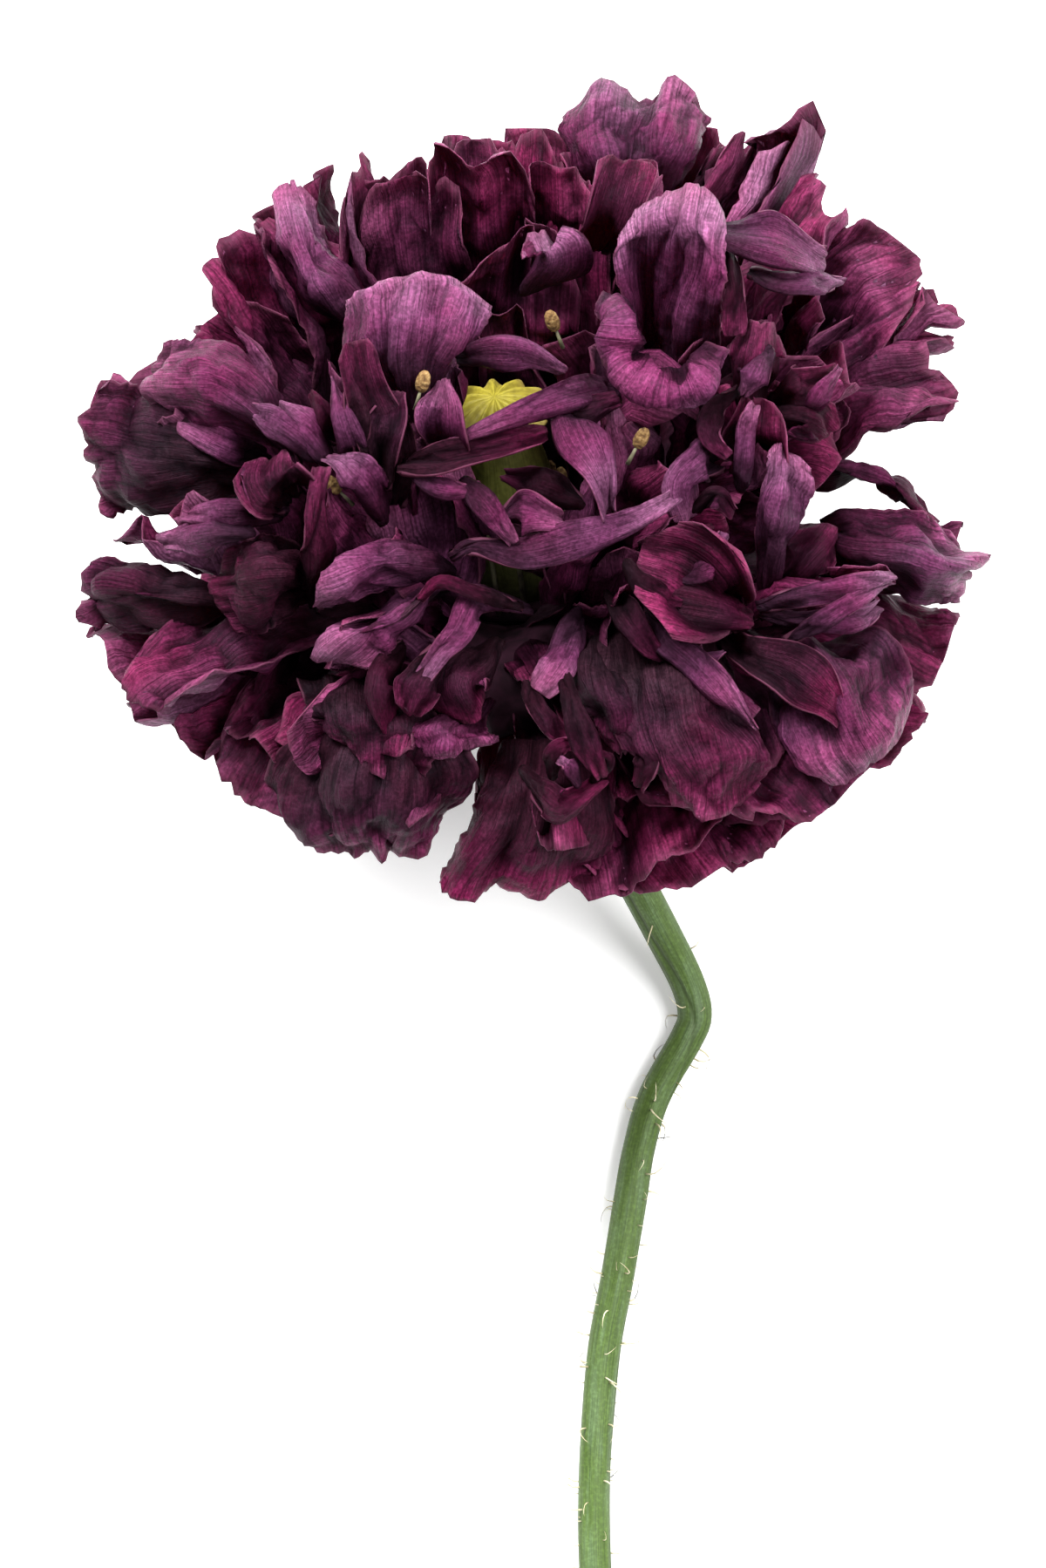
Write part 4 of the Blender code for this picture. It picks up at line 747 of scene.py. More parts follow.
def strip_surface(route, shape, seed, rows, cols):
    """Grid of points, in mm, over a petal whose middle follows a route seen in the picture."""
    width, widest, blunt, roll_foot, roll_tip, cup, ruffle = shape
    rng = np.random.default_rng(seed)
    spine = curve_through(placed(route), 30 * (len(route) - 1) + 1)
    run = distances(spine)
    length = run[-1]
    ahead = unit(np.gradient(spine, axis=0))
    side = unit(np.cross(UPWARD, ahead))
    twist = np.radians(roll_foot + (roll_tip - roll_foot) * run / length)[:, None]
    side, inward = twisted(side, np.cross(ahead, side), twist)

    v = np.linspace(-1, 1, cols)[None, :]
    phase = rng.uniform(0, 2 * math.pi, 8)
    cap = min(0.45, 0.5 * width * blunt / length)
    margin = 1 - cap + cap * np.sqrt(1 - 0.985 * v * v)
    margin = margin + 0.3 / length * width / 6 * np.sin(7 * v + phase[1])
    margin = margin + 0.6 * margin_teeth(v * width / 2, phase) / length
    u = np.clip(np.linspace(0, 1, rows)[:, None] * margin, 0, 1)
    rising = np.sin(math.pi / 2 * np.clip(u / widest, 0, 1)) ** 1.2
    falling = 1 - (1 - blunt) * smooth(widest, 1, u)
    half = width / 2 * (0.3 + 0.7 * rising) * falling
    half = half * (1 + 0.12 * np.sin(9 * u + phase[2]))

    heading = math.radians(cup) * v * (0.5 + 0.5 * np.sin(math.pi * u))
    waves = 1.2 + 0.04 * width
    heading = heading + math.radians(ruffle) * np.sin(math.pi * waves * v + phase[0] + 3 * u)
    heading = heading + math.radians(0.7 * ruffle) * np.sin(2.3 * math.pi * waves * v + phase[3] + 8 * u)
    sideways, height = cross_section(heading)
    shrink = min(1, width / 8)
    crumpled = creases(0.4 + 0.6 * u, v, rng, width / shrink, length / shrink) * shrink * 0.9
    return spread_out(u * length, run, spine, side, inward, sideways * half, height * half + crumpled)


folded = []
for number, (route, shape, letter) in enumerate(FOLDS):
    long = sum(math.dist(a, b) for a, b in zip(route, route[1:]))
    size = grid_size(long / FINER, shape[0] / FINER)
    grid = strip_surface(route, shape, FOLD_SEED + number, *size)
    if letter == "l":
        grid = grid[:, ::-1]
    folded.append(tinted(grid, letter))
half = len(folded) // 2
for name, petals in (("petals_folded_left", folded[:half]), ("petals_folded_right", folded[half:])):
    piece = sheet_mesh(name, petals, velvet)
    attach(piece, "root")
    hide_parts("petals")

# ---- Broad petals
# The wide petals that are seen whole, most of them on the outside of the bloom: the same thin
# crumpled tissue, arched over the others, with a frayed and toothed margin.
BROAD_SEED = 700
ROUNDING = 0.12                  # how far their corners are drawn in, of their length
# The tint, in capitals where the back is seen, how ragged the margin is, and points over the petal
# (right, up, height), in rows from foot to tip.
BROAD = (
    ("L", 0.35, (
        ((-14.5, 43, 62), (-13, 42.5, 64), (-11.3, 42.2, 66), (-10, 43, 66)),
        ((-19.8, 47.5, 68), (-16, 47.5, 73.1), (-11.5, 47.5, 74.2), (-8.5, 48.8, 72)),
        ((-20.8, 52, 70), (-16, 52.5, 75.3), (-10.5, 52.8, 75.85), (-5.5, 51, 72.55)),
        ((-20.6, 55, 70), (-16, 56.5, 74.2), (-9.5, 57.2, 74.75), (-3.6, 53.8, 71)),
        ((-20.2, 55.7, 69), (-16, 57.8, 72.55), (-10, 58.8, 73.1), (-3.4, 55.9, 69)),
    )),
    ("L", 0.4, (
        ((14.5, 43, 56), (16.5, 43, 56), (18.5, 43.5, 58), (20.5, 44.5, 60)),
        ((12.2, 50, 60), (14.8, 49.5, 55), (18.5, 50, 60), (22.2, 50.5, 68)),
        ((11.2, 56, 68), (14.5, 55.5, 62), (18.5, 56, 70), (22.6, 56.5, 76)),
        ((10.6, 61.5, 72), (14.5, 63, 73), (19, 63.8, 78), (23.5, 61, 77)),
        ((11.2, 64.4, 68), (14.8, 67.4, 71), (20, 69.3, 74), (23.8, 66.2, 72)),
    )),
    ("L", 0.35, (
        ((9, 56, 70), (12.2, 53.8, 72), (12.2, 50.5, 72), (12.8, 48.5, 72), (16, 46.5, 72),
         (19.5, 47.5, 72), (21.5, 50.5, 74)),
        ((8.4, 54.8, 74), (11, 53.5, 78), (10.8, 50, 78), (12.2, 47.2, 79), (16, 45.2, 79.3),
         (20.3, 46, 79.3), (23.2, 50, 78)),
        ((8.2, 53.8, 72), (10.3, 52.2, 75), (9.7, 49, 74), (11.6, 45.7, 75), (16, 43.8, 76),
         (20.8, 44.7, 76), (23.6, 49.8, 74)),
    )),
    ("L", 0.6, (
        ((-8, 25, 62), (-8, 24.4, 61), (-8, 23.8, 60)),
        ((-12, 27.2, 70), (-12, 25.5, 72.55), (-12.2, 23.2, 68)),
        ((-16, 28.3, 73.1), (-17.5, 25, 75.3), (-17.5, 21.7, 71)),
        ((-19.5, 25.8, 73.1), (-21.2, 23, 74.75), (-21.5, 20.2, 70)),
        ((-22.2, 24.3, 70), (-23.8, 21.2, 72), (-24.4, 18.8, 67)),
    )),
    ("L", 0.6, (
        ((-7.2, 23.2, 60), (-7.4, 22.8, 64), (-7, 22.4, 62)),
        ((-11, 22.8, 66), (-10.8, 22, 73.1), (-10.3, 21, 70)),
        ((-17, 20.5, 68), (-15.5, 19.5, 75.3), (-13.8, 16.5, 72)),
        ((-22, 18.8, 68), (-20, 17, 74.2), (-16, 13.8, 72)),
        ((-24.8, 16.5, 66), (-23.8, 13.8, 68), (-20, 13.2, 69)),
    )),
    ("L", 0.8, (
        ((-6.5, 10, 64), (-5, 9.5, 64), (-3.5, 10, 64)),
        ((-13, 7.5, 68), (-8.5, 7.2, 72), (-3.8, 6.8, 68)),
        ((-13.4, 6.8, 68), (-8.5, 4.8, 72.55), (-2.8, 5.4, 68)),
        ((-13.2, 6, 67), (-8.5, 2.9, 70), (-2.8, 4.3, 66)),
    )),
    ("n", 0.8, (
        ((-20, 10, 60), (-17, 10.5, 62), (-14, 11, 62), (-11, 11, 60)),
        ((-27, 5, 63), (-20.5, 5, 68), (-14, 5, 69), (-7.5, 5, 66)),
        ((-29.4, 0.5, 61), (-22, -1, 68), (-14.5, -1.5, 69), (-5.5, 1, 64)),
        ((-27.5, -3, 60), (-21.5, -5.5, 66), (-15, -6, 66), (-8, -3.5, 62)),
        ((-25, -5.5, 59), (-20, -8.5, 62), (-15, -9, 62), (-10, -7.4, 60)),
    )),
    ("v", 0.8, (
        ((9, 18, 60), (13, 18.5, 62), (18, 18.5, 62), (22, 17.5, 60)),
        ((8, 12.5, 68), (13, 13, 73.1), (19, 12.5, 74.2), (24, 11, 70)),
        ((10, 7, 72), (14.5, 7, 74.2), (20, 7, 75.85), (26.8, 6.5, 72)),
        ((13.5, 3, 72), (17.5, 1.5, 74.2), (22, 1, 75.3), (27.2, 2, 71)),
        ((14.5, 0.5, 69), (18.5, -2.5, 71), (22, -4, 72), (27, -2.5, 68)),
    )),
    ("n", 1, (
        ((6, 17, 60), (8, 17.5, 62), (10, 17.5, 62)),
        ((5.5, 12.5, 68), (8.5, 12.5, 73.1), (11.5, 12, 72)),
        ((6.5, 8, 72), (10, 7.5, 74.75), (13.5, 7.5, 73.1)),
        ((8.3, 4.5, 70), (11, 2.5, 72.55), (13.8, 2.8, 71)),
    )),
    ("k", 1, (
        ((-2.5, 5, 60), (1, 5, 62), (5, 5, 62), (9, 5, 60)),
        ((-4.5, 0, 64), (0, -0.5, 68), (5, -0.5, 68), (10, -1, 64)),
        ((-7, -5, 63), (-1.5, -6, 67), (4, -6, 67), (10, -6.5, 62)),
        ((-9.3, -9.5, 61), (-4, -10, 64), (2.5, -9.5, 64), (9, -9.5, 60)),
        ((-10.3, -11.6, 60), (-5.5, -13.2, 62), (1, -12, 61), (8, -11.2, 58)),
    )),
    ("N", 0.5, (
        ((28, 16, 60), (30, 16.5, 62), (32.5, 16.5, 62), (35, 16, 60)),
        ((28, 11, 66), (31.5, 12.5, 70), (36, 14.5, 72), (40.5, 18.5, 68)),
        ((28.5, 6.5, 68), (33, 7.5, 72.55), (38.5, 11, 73.65), (44.5, 14, 68)),
        ((30.5, 3, 68), (35, 3.5, 72), (40.5, 6.5, 72.55), (45.2, 10, 66)),
        ((33, 0.7, 66), (37.5, 0.3, 69), (42, 2.8, 69), (45.2, 6.5, 63)),
    )),
    ("N", 0.8, (
        ((34.5, 30, 56), (34.5, 28.5, 58), (34.5, 26, 56)),
        ((39, 30.8, 60), (39, 27.5, 64), (39.5, 23.5, 58)),
        ((44, 31.2, 60), (45, 27, 65), (44.5, 21.8, 58)),
        ((48, 29.5, 58), (49.2, 25.2, 63), (48.5, 21.2, 56)),
        ((51.2, 27.2, 55), (52.5, 24.5, 56), (50.8, 21.2, 54)),
    )),
    ("d", 1, (
        ((30.5, 39, 58), (30.5, 37, 60), (30.5, 35.2, 58)),
        ((35, 38.5, 60), (35, 36.2, 64), (34.8, 33.8, 58)),
        ((40, 37.5, 60), (40, 35.5, 64), (39.5, 33.6, 58)),
        ((45, 36, 58), (44, 33.5, 62), (42.5, 31.2, 57)),
        ((49.2, 29.5, 54), (47.5, 28.8, 57), (45, 29.8, 54)),
    )),
    ("d", 1, (
        ((-29, 38, 60), (-28.8, 36, 60), (-29, 34, 60)),
        ((-35, 42, 64), (-36, 36.5, 66), (-35.5, 32, 62)),
        ((-41, 45, 62), (-42.5, 37, 65), (-42, 31, 60)),
        ((-45.5, 46.2, 60), (-47.5, 38, 62), (-46.5, 30.3, 57)),
        ((-48.2, 44, 58), (-50.8, 38, 58), (-49.6, 30, 55)),
    )),
    ("n", 1, (
        ((-31.5, 21, 58), (-31.5, 20, 58), (-31.5, 19, 58)),
        ((-37, 24.5, 60), (-37.5, 21, 63), (-36.5, 18.8, 59)),
        ((-43.5, 26, 60), (-44.5, 21.5, 63), (-42.5, 17.5, 58)),
        ((-48.5, 25.8, 58), (-49.5, 21, 60), (-48, 16.8, 56)),
        ((-50, 24.8, 57), (-51.8, 20.8, 57), (-50.5, 17, 54)),
    )),
    ("r", 0.7, (
        ((-24, 26, 60), (-23.8, 23.5, 62), (-24, 21, 60)),
        ((-27.5, 29, 68), (-27.5, 24, 73.1), (-27.5, 18, 68)),
        ((-32, 28.8, 68), (-32.5, 23.5, 72.55), (-31.5, 16.5, 66)),
        ((-35.4, 26, 64), (-36.3, 22.5, 65), (-34.5, 18.5, 62)),
    )),
    ("N", 0.8, (
        ((9.5, 65, 28), (10.5, 65, 29), (11.8, 65.2, 30), (13.5, 65.4, 29), (15, 65.5, 28)),
        ((6, 70.5, 36), (9, 70.8, 39), (12.2, 71, 37), (15.5, 71.2, 39), (19, 71, 35)),
        ((5, 75.5, 35), (8, 75.7, 38), (13, 75, 36), (16.8, 75.2, 38), (20.5, 74.5, 33)),
        ((5.5, 78, 32), (9.2, 81.2, 33), (13.8, 79, 34), (17.6, 80.7, 33), (21.2, 76.5, 30)),
    )),
    ("L", 0.6, (
        ((27, 20, 58), (28, 19.5, 60), (29.2, 20, 58)),
        ((26, 26, 68), (28, 26, 72), (30.5, 26, 68)),
        ((26.5, 31.5, 73.1), (29, 31.5, 75.3), (33, 31, 72)),
        ((27.8, 37, 74.2), (30, 36.5, 75.85), (33.2, 35.5, 73.1)),
        ((28.5, 39.5, 73.1), (29.7, 40.3, 73.65), (31.5, 38.5, 72.55)),
    )),
    ("L", 0.7, (
        ((-17, 50, 46), (-16, 50, 46), (-15, 50.5, 46)),
        ((-25, 55.5, 52), (-22, 56, 57), (-18.5, 57.5, 52)),
        ((-28.2, 61, 52), (-25, 61.5, 57), (-21.5, 63, 52)),
        ((-29.6, 66.5, 50), (-27.2, 69.3, 52), (-24.8, 69.8, 50)),
    )),
    ("N", 0.7, (
        ((-23.5, 37, 58), (-23, 36.5, 60), (-22.8, 35.5, 58)),
        ((-28, 43, 66), (-28.5, 40.5, 70), (-27.5, 38, 66)),
        ((-33.8, 50.2, 68), (-34.5, 45.5, 72.55), (-33.8, 40.5, 67)),
        ((-39.5, 51, 66), (-39.5, 46, 70), (-38.5, 40.8, 64)),
        ((-42, 49.8, 63), (-43.5, 46, 64), (-41.5, 41.5, 61)),
    )),
    ("d", 1, (
        ((-26, 12, 64), (-22, 12.5, 66), (-17, 12.5, 66), (-12, 12, 64)),
        ((-25, 8.5, 68), (-21.5, 8, 71), (-17, 7.5, 72), (-10, 6.5, 69)),
        ((-24, 5.8, 68), (-20.5, 3.8, 70), (-17.2, 1.2, 70), (-12.5, -1.8, 67)),
    )),
)

def broad_surface(points, ragged, seed):
    """Grid of points, in mm, over a petal given by points seen in the picture."""
    rng = np.random.default_rng(seed)
    knots = placed(points)
    length = np.linalg.norm(np.diff(knots, axis=0), axis=-1).sum(0).max()
    width = np.linalg.norm(np.diff(knots, axis=1), axis=-1).sum(1).max()
    rows, cols = grid_size(length, width)
    surface = curve_through(knots, rows)
    surface = curve_through(surface.swapaxes(0, 1), cols).swapaxes(0, 1)
    at = np.arange(rows)
    for j, across in enumerate(np.linspace(-1, 1, cols)):
        surface[:, j] = read_at(at * (1 - ROUNDING * across ** 4), at, surface[:, j])
    u = np.linspace(0, 1, rows)[:, None]
    v = np.linspace(-1, 1, cols)[None, :]
    phase = rng.uniform(0, 2 * math.pi, 8)
    ahead = unit(np.gradient(surface, axis=0))
    side = unit(np.gradient(surface, axis=1))
    teeth = ragged * (margin_teeth(v * width / 2, phase) - 0.9) * smooth(0.8, 1, u)
    frayed = ragged * (0.6 * margin_teeth(u * length, phase) - 0.5) * smooth(0.8, 1, np.abs(v)) * np.sign(v)
    surface = surface + ahead * teeth[..., None] + side * (frayed * smooth(0.2, 0.5, u))[..., None]
    sheet = creases(0.25 + 0.75 * u, v, rng, width, length, CRUMPLE[1:], ragged)
    return surface + grid_normals(surface) * sheet[..., None]


broad = []
for number, (letter, ragged, points) in enumerate(BROAD):
    grid = broad_surface(points, ragged, BROAD_SEED + number)
    upward = grid_normals(grid)[..., 2].mean() > 0
    if upward != letter.isupper():
        grid = grid[:, ::-1]
    broad.append(tinted(grid, letter.lower()))
piece = sheet_mesh("petals_broad", broad, velvet)
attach(piece, "root")
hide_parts("petals")

# ---- Stem
# A cut poppy stalk, solid and a little ribbed, with one deep groove down its front and a patchy
# blue-green bloom of wax. It bends sharply where it was kinked and widens into the receptacle.
STEM_PATH = (                    # right, up, height, radius, from the cut end to the bloom, mm
    (9.9, -110.6, 2.0, 2.0), (9.3, -104.0, 2.0, 2.0), (8.7, -93.0, 2.0, 2.0), (8.7, -84.0, 2.0, 2.0),
    (9.2, -76.0, 2.0, 2.05), (10.0, -68.0, 2.05, 2.05), (11.5, -60.0, 2.1, 2.1), (13.0, -51.0, 2.1, 2.1),
    (14.1, -44.5, 2.05, 2.0), (16.0, -38.0, 2.1, 2.05), (19.9, -31.0, 2.2, 2.1), (20.9, -28.0, 2.3, 2.15),
    (19.9, -24.0, 3.2, 2.15), (16.6, -17.5, 6.6, 2.3), (12.9, -10.5, 11.2, 2.35), (8.6, -1.5, 16.6, 2.4),
    (4.4, 8.0, 23.6, 2.5), (1.6, 15.2, 30.0, 2.8),
)
RECEPTACLE_SHAPE = (             # height along the flower's axis and radius, where the stem widens, mm
    (-4.5, 3.2), (-3.0, 4.6), (-1.6, 5.8), (0.0, 6.0), (0.5, 5.6),
)
STEM_RINGS, STEM_SIDES = 240, 72
ABOVE_TABLE = 0.02               # lowest that the stem and its hairs reach, mm
MERGE = 0.000001                 # points nearer than this are one point, metres
RIBS = (6, 0.03)                 # number, and depth as a share of the radius
GROOVE_LINE = (                  # the deep groove: share of the stem's length, radians from its top line
    (0.0, 1.3), (0.46, 1.25), (0.507, 1.0), (0.537, 0.41), (0.555, 0.0), (0.585, -0.41), (0.65, -0.75),
    (1.0, -0.9),
)
GROOVE = (0.11, 0.09)            # its width in radians, and depth as a share of the radius
HAIRY = ((0.35, 0.5), (0.56, 0.68))   # shares of the length where the hairs thin out and where they end


def smooth_route(knots, count):
    """Steps of even length along a smooth curve through rows of numbers."""
    curve = curve_through(np.array(knots, dtype=float), 24 * (len(knots) - 1) + 1)
    run = distances(curve[:, :3])
    return read_at(np.linspace(0, run[-1], count), run, curve)


def ring_faces(count, sides, closed_ends):
    index = np.arange(count * sides).reshape(count, sides)
    nxt = np.roll(index, -1, axis=1)
    faces = np.stack([index[:-1], nxt[:-1], nxt[1:], index[1:]], -1).reshape(-1, 4).tolist()
    if closed_ends:
        faces += [index[0, ::-1].tolist(), index[-1].tolist()]
    return faces


def ring_mesh(name, rings, closed_ends, layer_name):
    """Object from rings of points, with a UV of turn and length."""
    count, sides = rings.shape[:2]
    points = (rings.reshape(-1, 3) - MIDDLE) * MM
    mesh = bpy.data.meshes.new(name)
    mesh.from_pydata(points.tolist(), [], ring_faces(count, sides, closed_ends))
    build = bmesh.new()
    build.from_mesh(mesh)
    layer = build.loops.layers.uv.new(layer_name)
    for face in build.faces:
        columns = [loop.vert.index % sides for loop in face.loops]
        wraps = len(face.verts) == 4 and max(columns) - min(columns) > 1
        for loop, column in zip(face.loops, columns):
            turn = 1.0 if wraps and column == 0 else column / sides
            loop[layer].uv = (turn, loop.vert.index // sides / (count - 1))
        face.smooth = len(face.verts) == 4
    if not closed_ends:
        bmesh.ops.remove_doubles(build, verts=build.verts, dist=MERGE)
    bmesh.ops.recalc_face_normals(build, faces=build.faces)
    build.to_mesh(mesh)
    build.free()
    return in_scene(name, mesh)


def stem_material():
    material, tree, shader, spot = fresh_material("stem_green")
    uv = node(tree, "ShaderNodeUVMap", uv_map="stem").outputs[0]
    wax = noise(tree, stretched(tree, uv, 9, 14), 1, 4, 0.6, 0.4)
    colour = ramp(tree, wax, (
        (0.36, (0.060, 0.108, 0.014)), (0.5, (0.076, 0.128, 0.028)), (0.62, (0.10, 0.16, 0.058))))
    fibres = stretched(tree, uv, 70, 12)
    colour, ribs = mottled(tree, colour, fibres, 1, 3, (0.3, (0.6, 0.62, 0.6)), (0.6, (1.05, 1.05, 1.05)))
    colour, _ = mottled(tree, colour, spot, 2600, 2, (0.45, (0.86, 0.86, 0.86)), (0.7, (1.25, 1.25, 1.3)))
    groove, cut, _ = tone_values(tree)
    # Painted shade: the colour is darker in the groove down the stem.
    colour = mix(tree, groove, colour, (0.045, 0.07, 0.02, 1))
    feed(shader, {
        "Base Color": mix(tree, cut, colour, (0.22, 0.26, 0.13, 1)), "Roughness": 0.55,
        "Specular IOR Level": 0.35, "Normal": bump(tree, ribs, 0.5, 0.00015)})
    return material


def build_stem():
    top = [(*(RECEPTACLE + height * AXIS), radius) for height, radius in RECEPTACLE_SHAPE]
    line = smooth_route([*STEM_PATH, *top], STEM_RINGS)
    path, radii = line[:, :3], line[:, 3:]
    ahead = unit(np.gradient(path, axis=0))
    across = unit(np.cross(ahead, UPWARD))
    up = np.cross(across, ahead)
    angle = 2 * math.pi * np.arange(STEM_SIDES)[None, :] / STEM_SIDES
    share = np.linspace(0, 1, STEM_RINGS)[:, None]
    off = (angle - np.interp(share, *np.array(GROOVE_LINE).T) + math.pi) % (2 * math.pi) - math.pi
    groove = np.exp(-(off / GROOVE[0]) ** 2) * (1 - smooth(0.9, 0.96, share))
    wide = radii * (1 - RIBS[1] * (1 - np.cos(RIBS[0] * angle)) / 2 - GROOVE[1] * groove)
    wide = wide * (1 + 0.006 * np.sin(17 * angle + 9 * share) + 0.012 * np.sin(40 * share + 2 * angle))
    turned = np.cos(angle)[..., None] * up[:, None] + np.sin(angle)[..., None] * across[:, None]
    rings = path[:, None] + wide[..., None] * turned
    rings[..., 2] = np.maximum(rings[..., 2], ABOVE_TABLE)
    obj = ring_mesh("stem_fine", rings, True, "stem")
    cut = np.arange(STEM_RINGS * STEM_SIDES) < STEM_SIDES
    # How deep in the groove each point lies, for the painted shade there, and the cut end.
    add_tone(obj.data, 0.8 * groove.ravel(), cut, 0)
    hairy = obj.data.attributes.new("hairy", "FLOAT", "POINT")
    cover = (1 - 0.3 * smooth(*HAIRY[0], share)) * (1 - smooth(*HAIRY[1], share)) + 0 * angle
    hairy.data.foreach_set("value", cover.ravel())
    obj.data.materials.append(stem_material())
    return obj


stem = build_stem()
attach(stem, "root")
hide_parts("stem")

# ---- Hairs on the stem
# Sparse pale bristles, stiff and bent once, that grow from the skin of the lower stalk. They stand
# out from it at any turn and thin out towards the bloom.
HAIRS_PER_CM2 = 9.0
HAIR_LENGTH = (1.0, 3.0)         # mm
HAIR = (                         # one bristle 1 mm long: right, up, height and radius
    (0, 0, 0, 0.045), (0.02, 0, 0.3, 0.04), (0.14, 0, 0.55, 0.032), (0.42, 0.05, 0.72, 0.024),
    (0.75, 0.12, 0.78, 0.014), (0.95, 0.18, 0.74, 0.004),
)
HAIR_SIDES = 5
HAIR_SEED = 4


def hair_shape():
    """One bristle standing on the origin."""
    angle = 2 * math.pi * np.arange(HAIR_SIDES) / HAIR_SIDES
    points = []
    for x, y, z, radius in HAIR:
        aside = radius * np.cos(angle)
        points.append(np.stack([x + aside, y + radius * np.sin(angle), z + aside * x], -1))
    mesh = bpy.data.meshes.new("hair_shape")
    mesh.from_pydata((np.concatenate(points) * MM).tolist(), [], ring_faces(len(HAIR), HAIR_SIDES, True))
    mesh.polygons.foreach_set("use_smooth", [True] * len(mesh.polygons))
    return in_scene("hair_shape", mesh)


def set_shapes(tree, given, points, rotation, scale):
    """Set the given shape on points, as real faces in the given material, and put that out."""
    shape = node(tree, "GeometryNodeObjectInfo", {"Object": given["Shape"]}, transform_space="ORIGINAL")
    placed_shapes = node(tree, "GeometryNodeInstanceOnPoints", {
        "Points": points, "Instance": shape.outputs["Geometry"], "Rotation": rotation, "Scale": scale})
    real = node(tree, "GeometryNodeRealizeInstances", {0: placed_shapes.outputs[0]})
    dress = node(tree, "GeometryNodeSetMaterial", {
        "Geometry": real.outputs[0], "Material": given["Material"]})
    node(tree, "NodeGroupOutput", {0: dress.outputs[0]})


def new_tree(name, sockets):
    """Empty geometry nodes, with these inputs besides the geometry, the shape and its material."""
    tree = bpy.data.node_groups.new(name, "GeometryNodeTree")
    name_sockets(tree, "INPUT", (
        ("Geometry", "Geometry"), ("Shape", "Object"), ("Material", "Material"), *sockets))
    name_sockets(tree, "OUTPUT", (("Geometry", "Geometry"),))
    return tree, tree.nodes.new("NodeGroupInput").outputs


def named(tree, name, kind):
    values = node(tree, "GeometryNodeInputNamedAttribute", {"Name": name}, data_type=kind)
    return values.outputs["Attribute"]


def scatter_tree():
    """Geometry nodes that scatter a shape over a mesh where its 'hairy' values allow."""
    tree, given = new_tree("bristles", (
        ("Density", "Float"), ("Shortest", "Float"), ("Longest", "Float"), ("Seed", "Int")))
    dense = maths(tree, "MULTIPLY", named(tree, "hairy", "FLOAT"), given["Density"])
    points = node(tree, "GeometryNodeDistributePointsOnFaces", {
        "Mesh": given["Geometry"], "Density": dense, "Seed": given["Seed"]}).outputs
    turn = node(tree, "FunctionNodeRandomValue", {2: 0, 3: 2 * math.pi}, data_type="FLOAT")
    turn = node(tree, "FunctionNodeAxisAngleToRotation", {"Angle": turn.outputs[1]})
    turned = node(tree, "FunctionNodeRotateRotation", {
        "Rotation": points["Rotation"], "Rotate By": turn.outputs[0]}, rotation_space="LOCAL")
    long = node(tree, "FunctionNodeRandomValue", {
        2: given["Shortest"], 3: given["Longest"], "Seed": given["Seed"]}, data_type="FLOAT")
    set_shapes(tree, given, points["Points"], turned.outputs[0], long.outputs[1])
    return tree


def grown(name, base, tree, values):
    """Plain mesh of what the nodes grow on the base."""
    holder = in_scene(name, base)
    nodes = holder.modifiers.new("grow", "NODES")
    nodes.node_group = tree
    for item in tree.interface.items_tree:
        if item.in_out == "INPUT" and item.name in values:
            nodes[item.identifier] = values[item.name]
    bpy.context.view_layer.update()
    mesh = bpy.data.meshes.new_from_object(holder.evaluated_get(bpy.context.evaluated_depsgraph_get()))
    holder.modifiers.clear()
    holder.data = mesh
    bpy.data.objects.remove(values["Shape"])
    return holder


def plain_material(name, scale, detail, stops, inputs, relief=None):
    """Material whose colour, and relief if it has one (strength, metres), vary with one noise."""
    material, tree, shader, spot = fresh_material(name)
    grain = noise(tree, spot, scale, detail)
    feed(shader, {"Base Color": ramp(tree, grain, stops), **inputs})
    if relief:
        feed(shader, {"Normal": bump(tree, grain, *relief)})
    return material


bristle = plain_material("hair_pale", 900, 2, (
    (0.35, (0.42, 0.36, 0.20)), (0.65, (0.78, 0.72, 0.5))), {"Roughness": 0.5})
hairs = grown("stem_hairs", stem.data.copy(), scatter_tree(), {
    "Shape": hair_shape(), "Density": HAIRS_PER_CM2 * 1e4, "Shortest": HAIR_LENGTH[0],
    "Longest": HAIR_LENGTH[1], "Seed": HAIR_SEED, "Material": bristle})
for vertex in hairs.data.vertices:
    vertex.co.z = max(vertex.co.z, ABOVE_TABLE * MM)
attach(hairs, "root")

# ---- Petal bases
# Where the petals are rooted they are packed into one dark, folded mass round the seed head, soft
# as they are and grown onto the receptacle.
BASES = (                        # radius and height along the flower's axis, mm
    (6.3, -3.0), (11.0, -5.0), (20.0, -5.0), (25.0, 0.0), (25.5, 5.0),
    (21.0, 8.0), (14.0, 6.0), (9.5, 2.5), (8.7, 0.9), (6.3, 0.9), (6.3, -3.0),
)
BASE_SIDES = 168


def turned_rings(outline, sides, shape):
    """Rings of points round the flower's axis for (radius, height) pairs, mm."""
    angle = 2 * math.pi * np.arange(sides) / sides
    out = np.cos(angle)[:, None] * FRONT + np.sin(angle)[:, None] * RIGHT
    rings = []
    for k, (radius, height) in enumerate(outline):
        r, h = shape(k, radius, height, angle)
        rings.append(RECEPTACLE + h[:, None] * AXIS + r[:, None] * out)
    return np.array(rings)


def folded_base(k, radius, height, angle):
    """Radius and height round the bases: small folds all over, and a wave on the outer part."""
    wave = 0.8 * np.sin(9 * angle) * (radius > 10)
    return radius * (1 - 0.04 * np.abs(np.sin(14 * angle))), height + wave


# Near black: partly the petals' own dark feet and partly painted shade deep in the bloom.
foot_dark = plain_material("petal_foot", 400, 4, (
    (0.35, (0.006, 0.002, 0.004)), (0.65, (0.026, 0.007, 0.015))),
    {"Roughness": 0.8, "Specular IOR Level": 0.1})
bases = ring_mesh("petal_bases", turned_rings(BASES, BASE_SIDES, folded_base), False, "bases")
bases.data.materials.append(foot_dark)
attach(bases, "root")
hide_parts("petals")

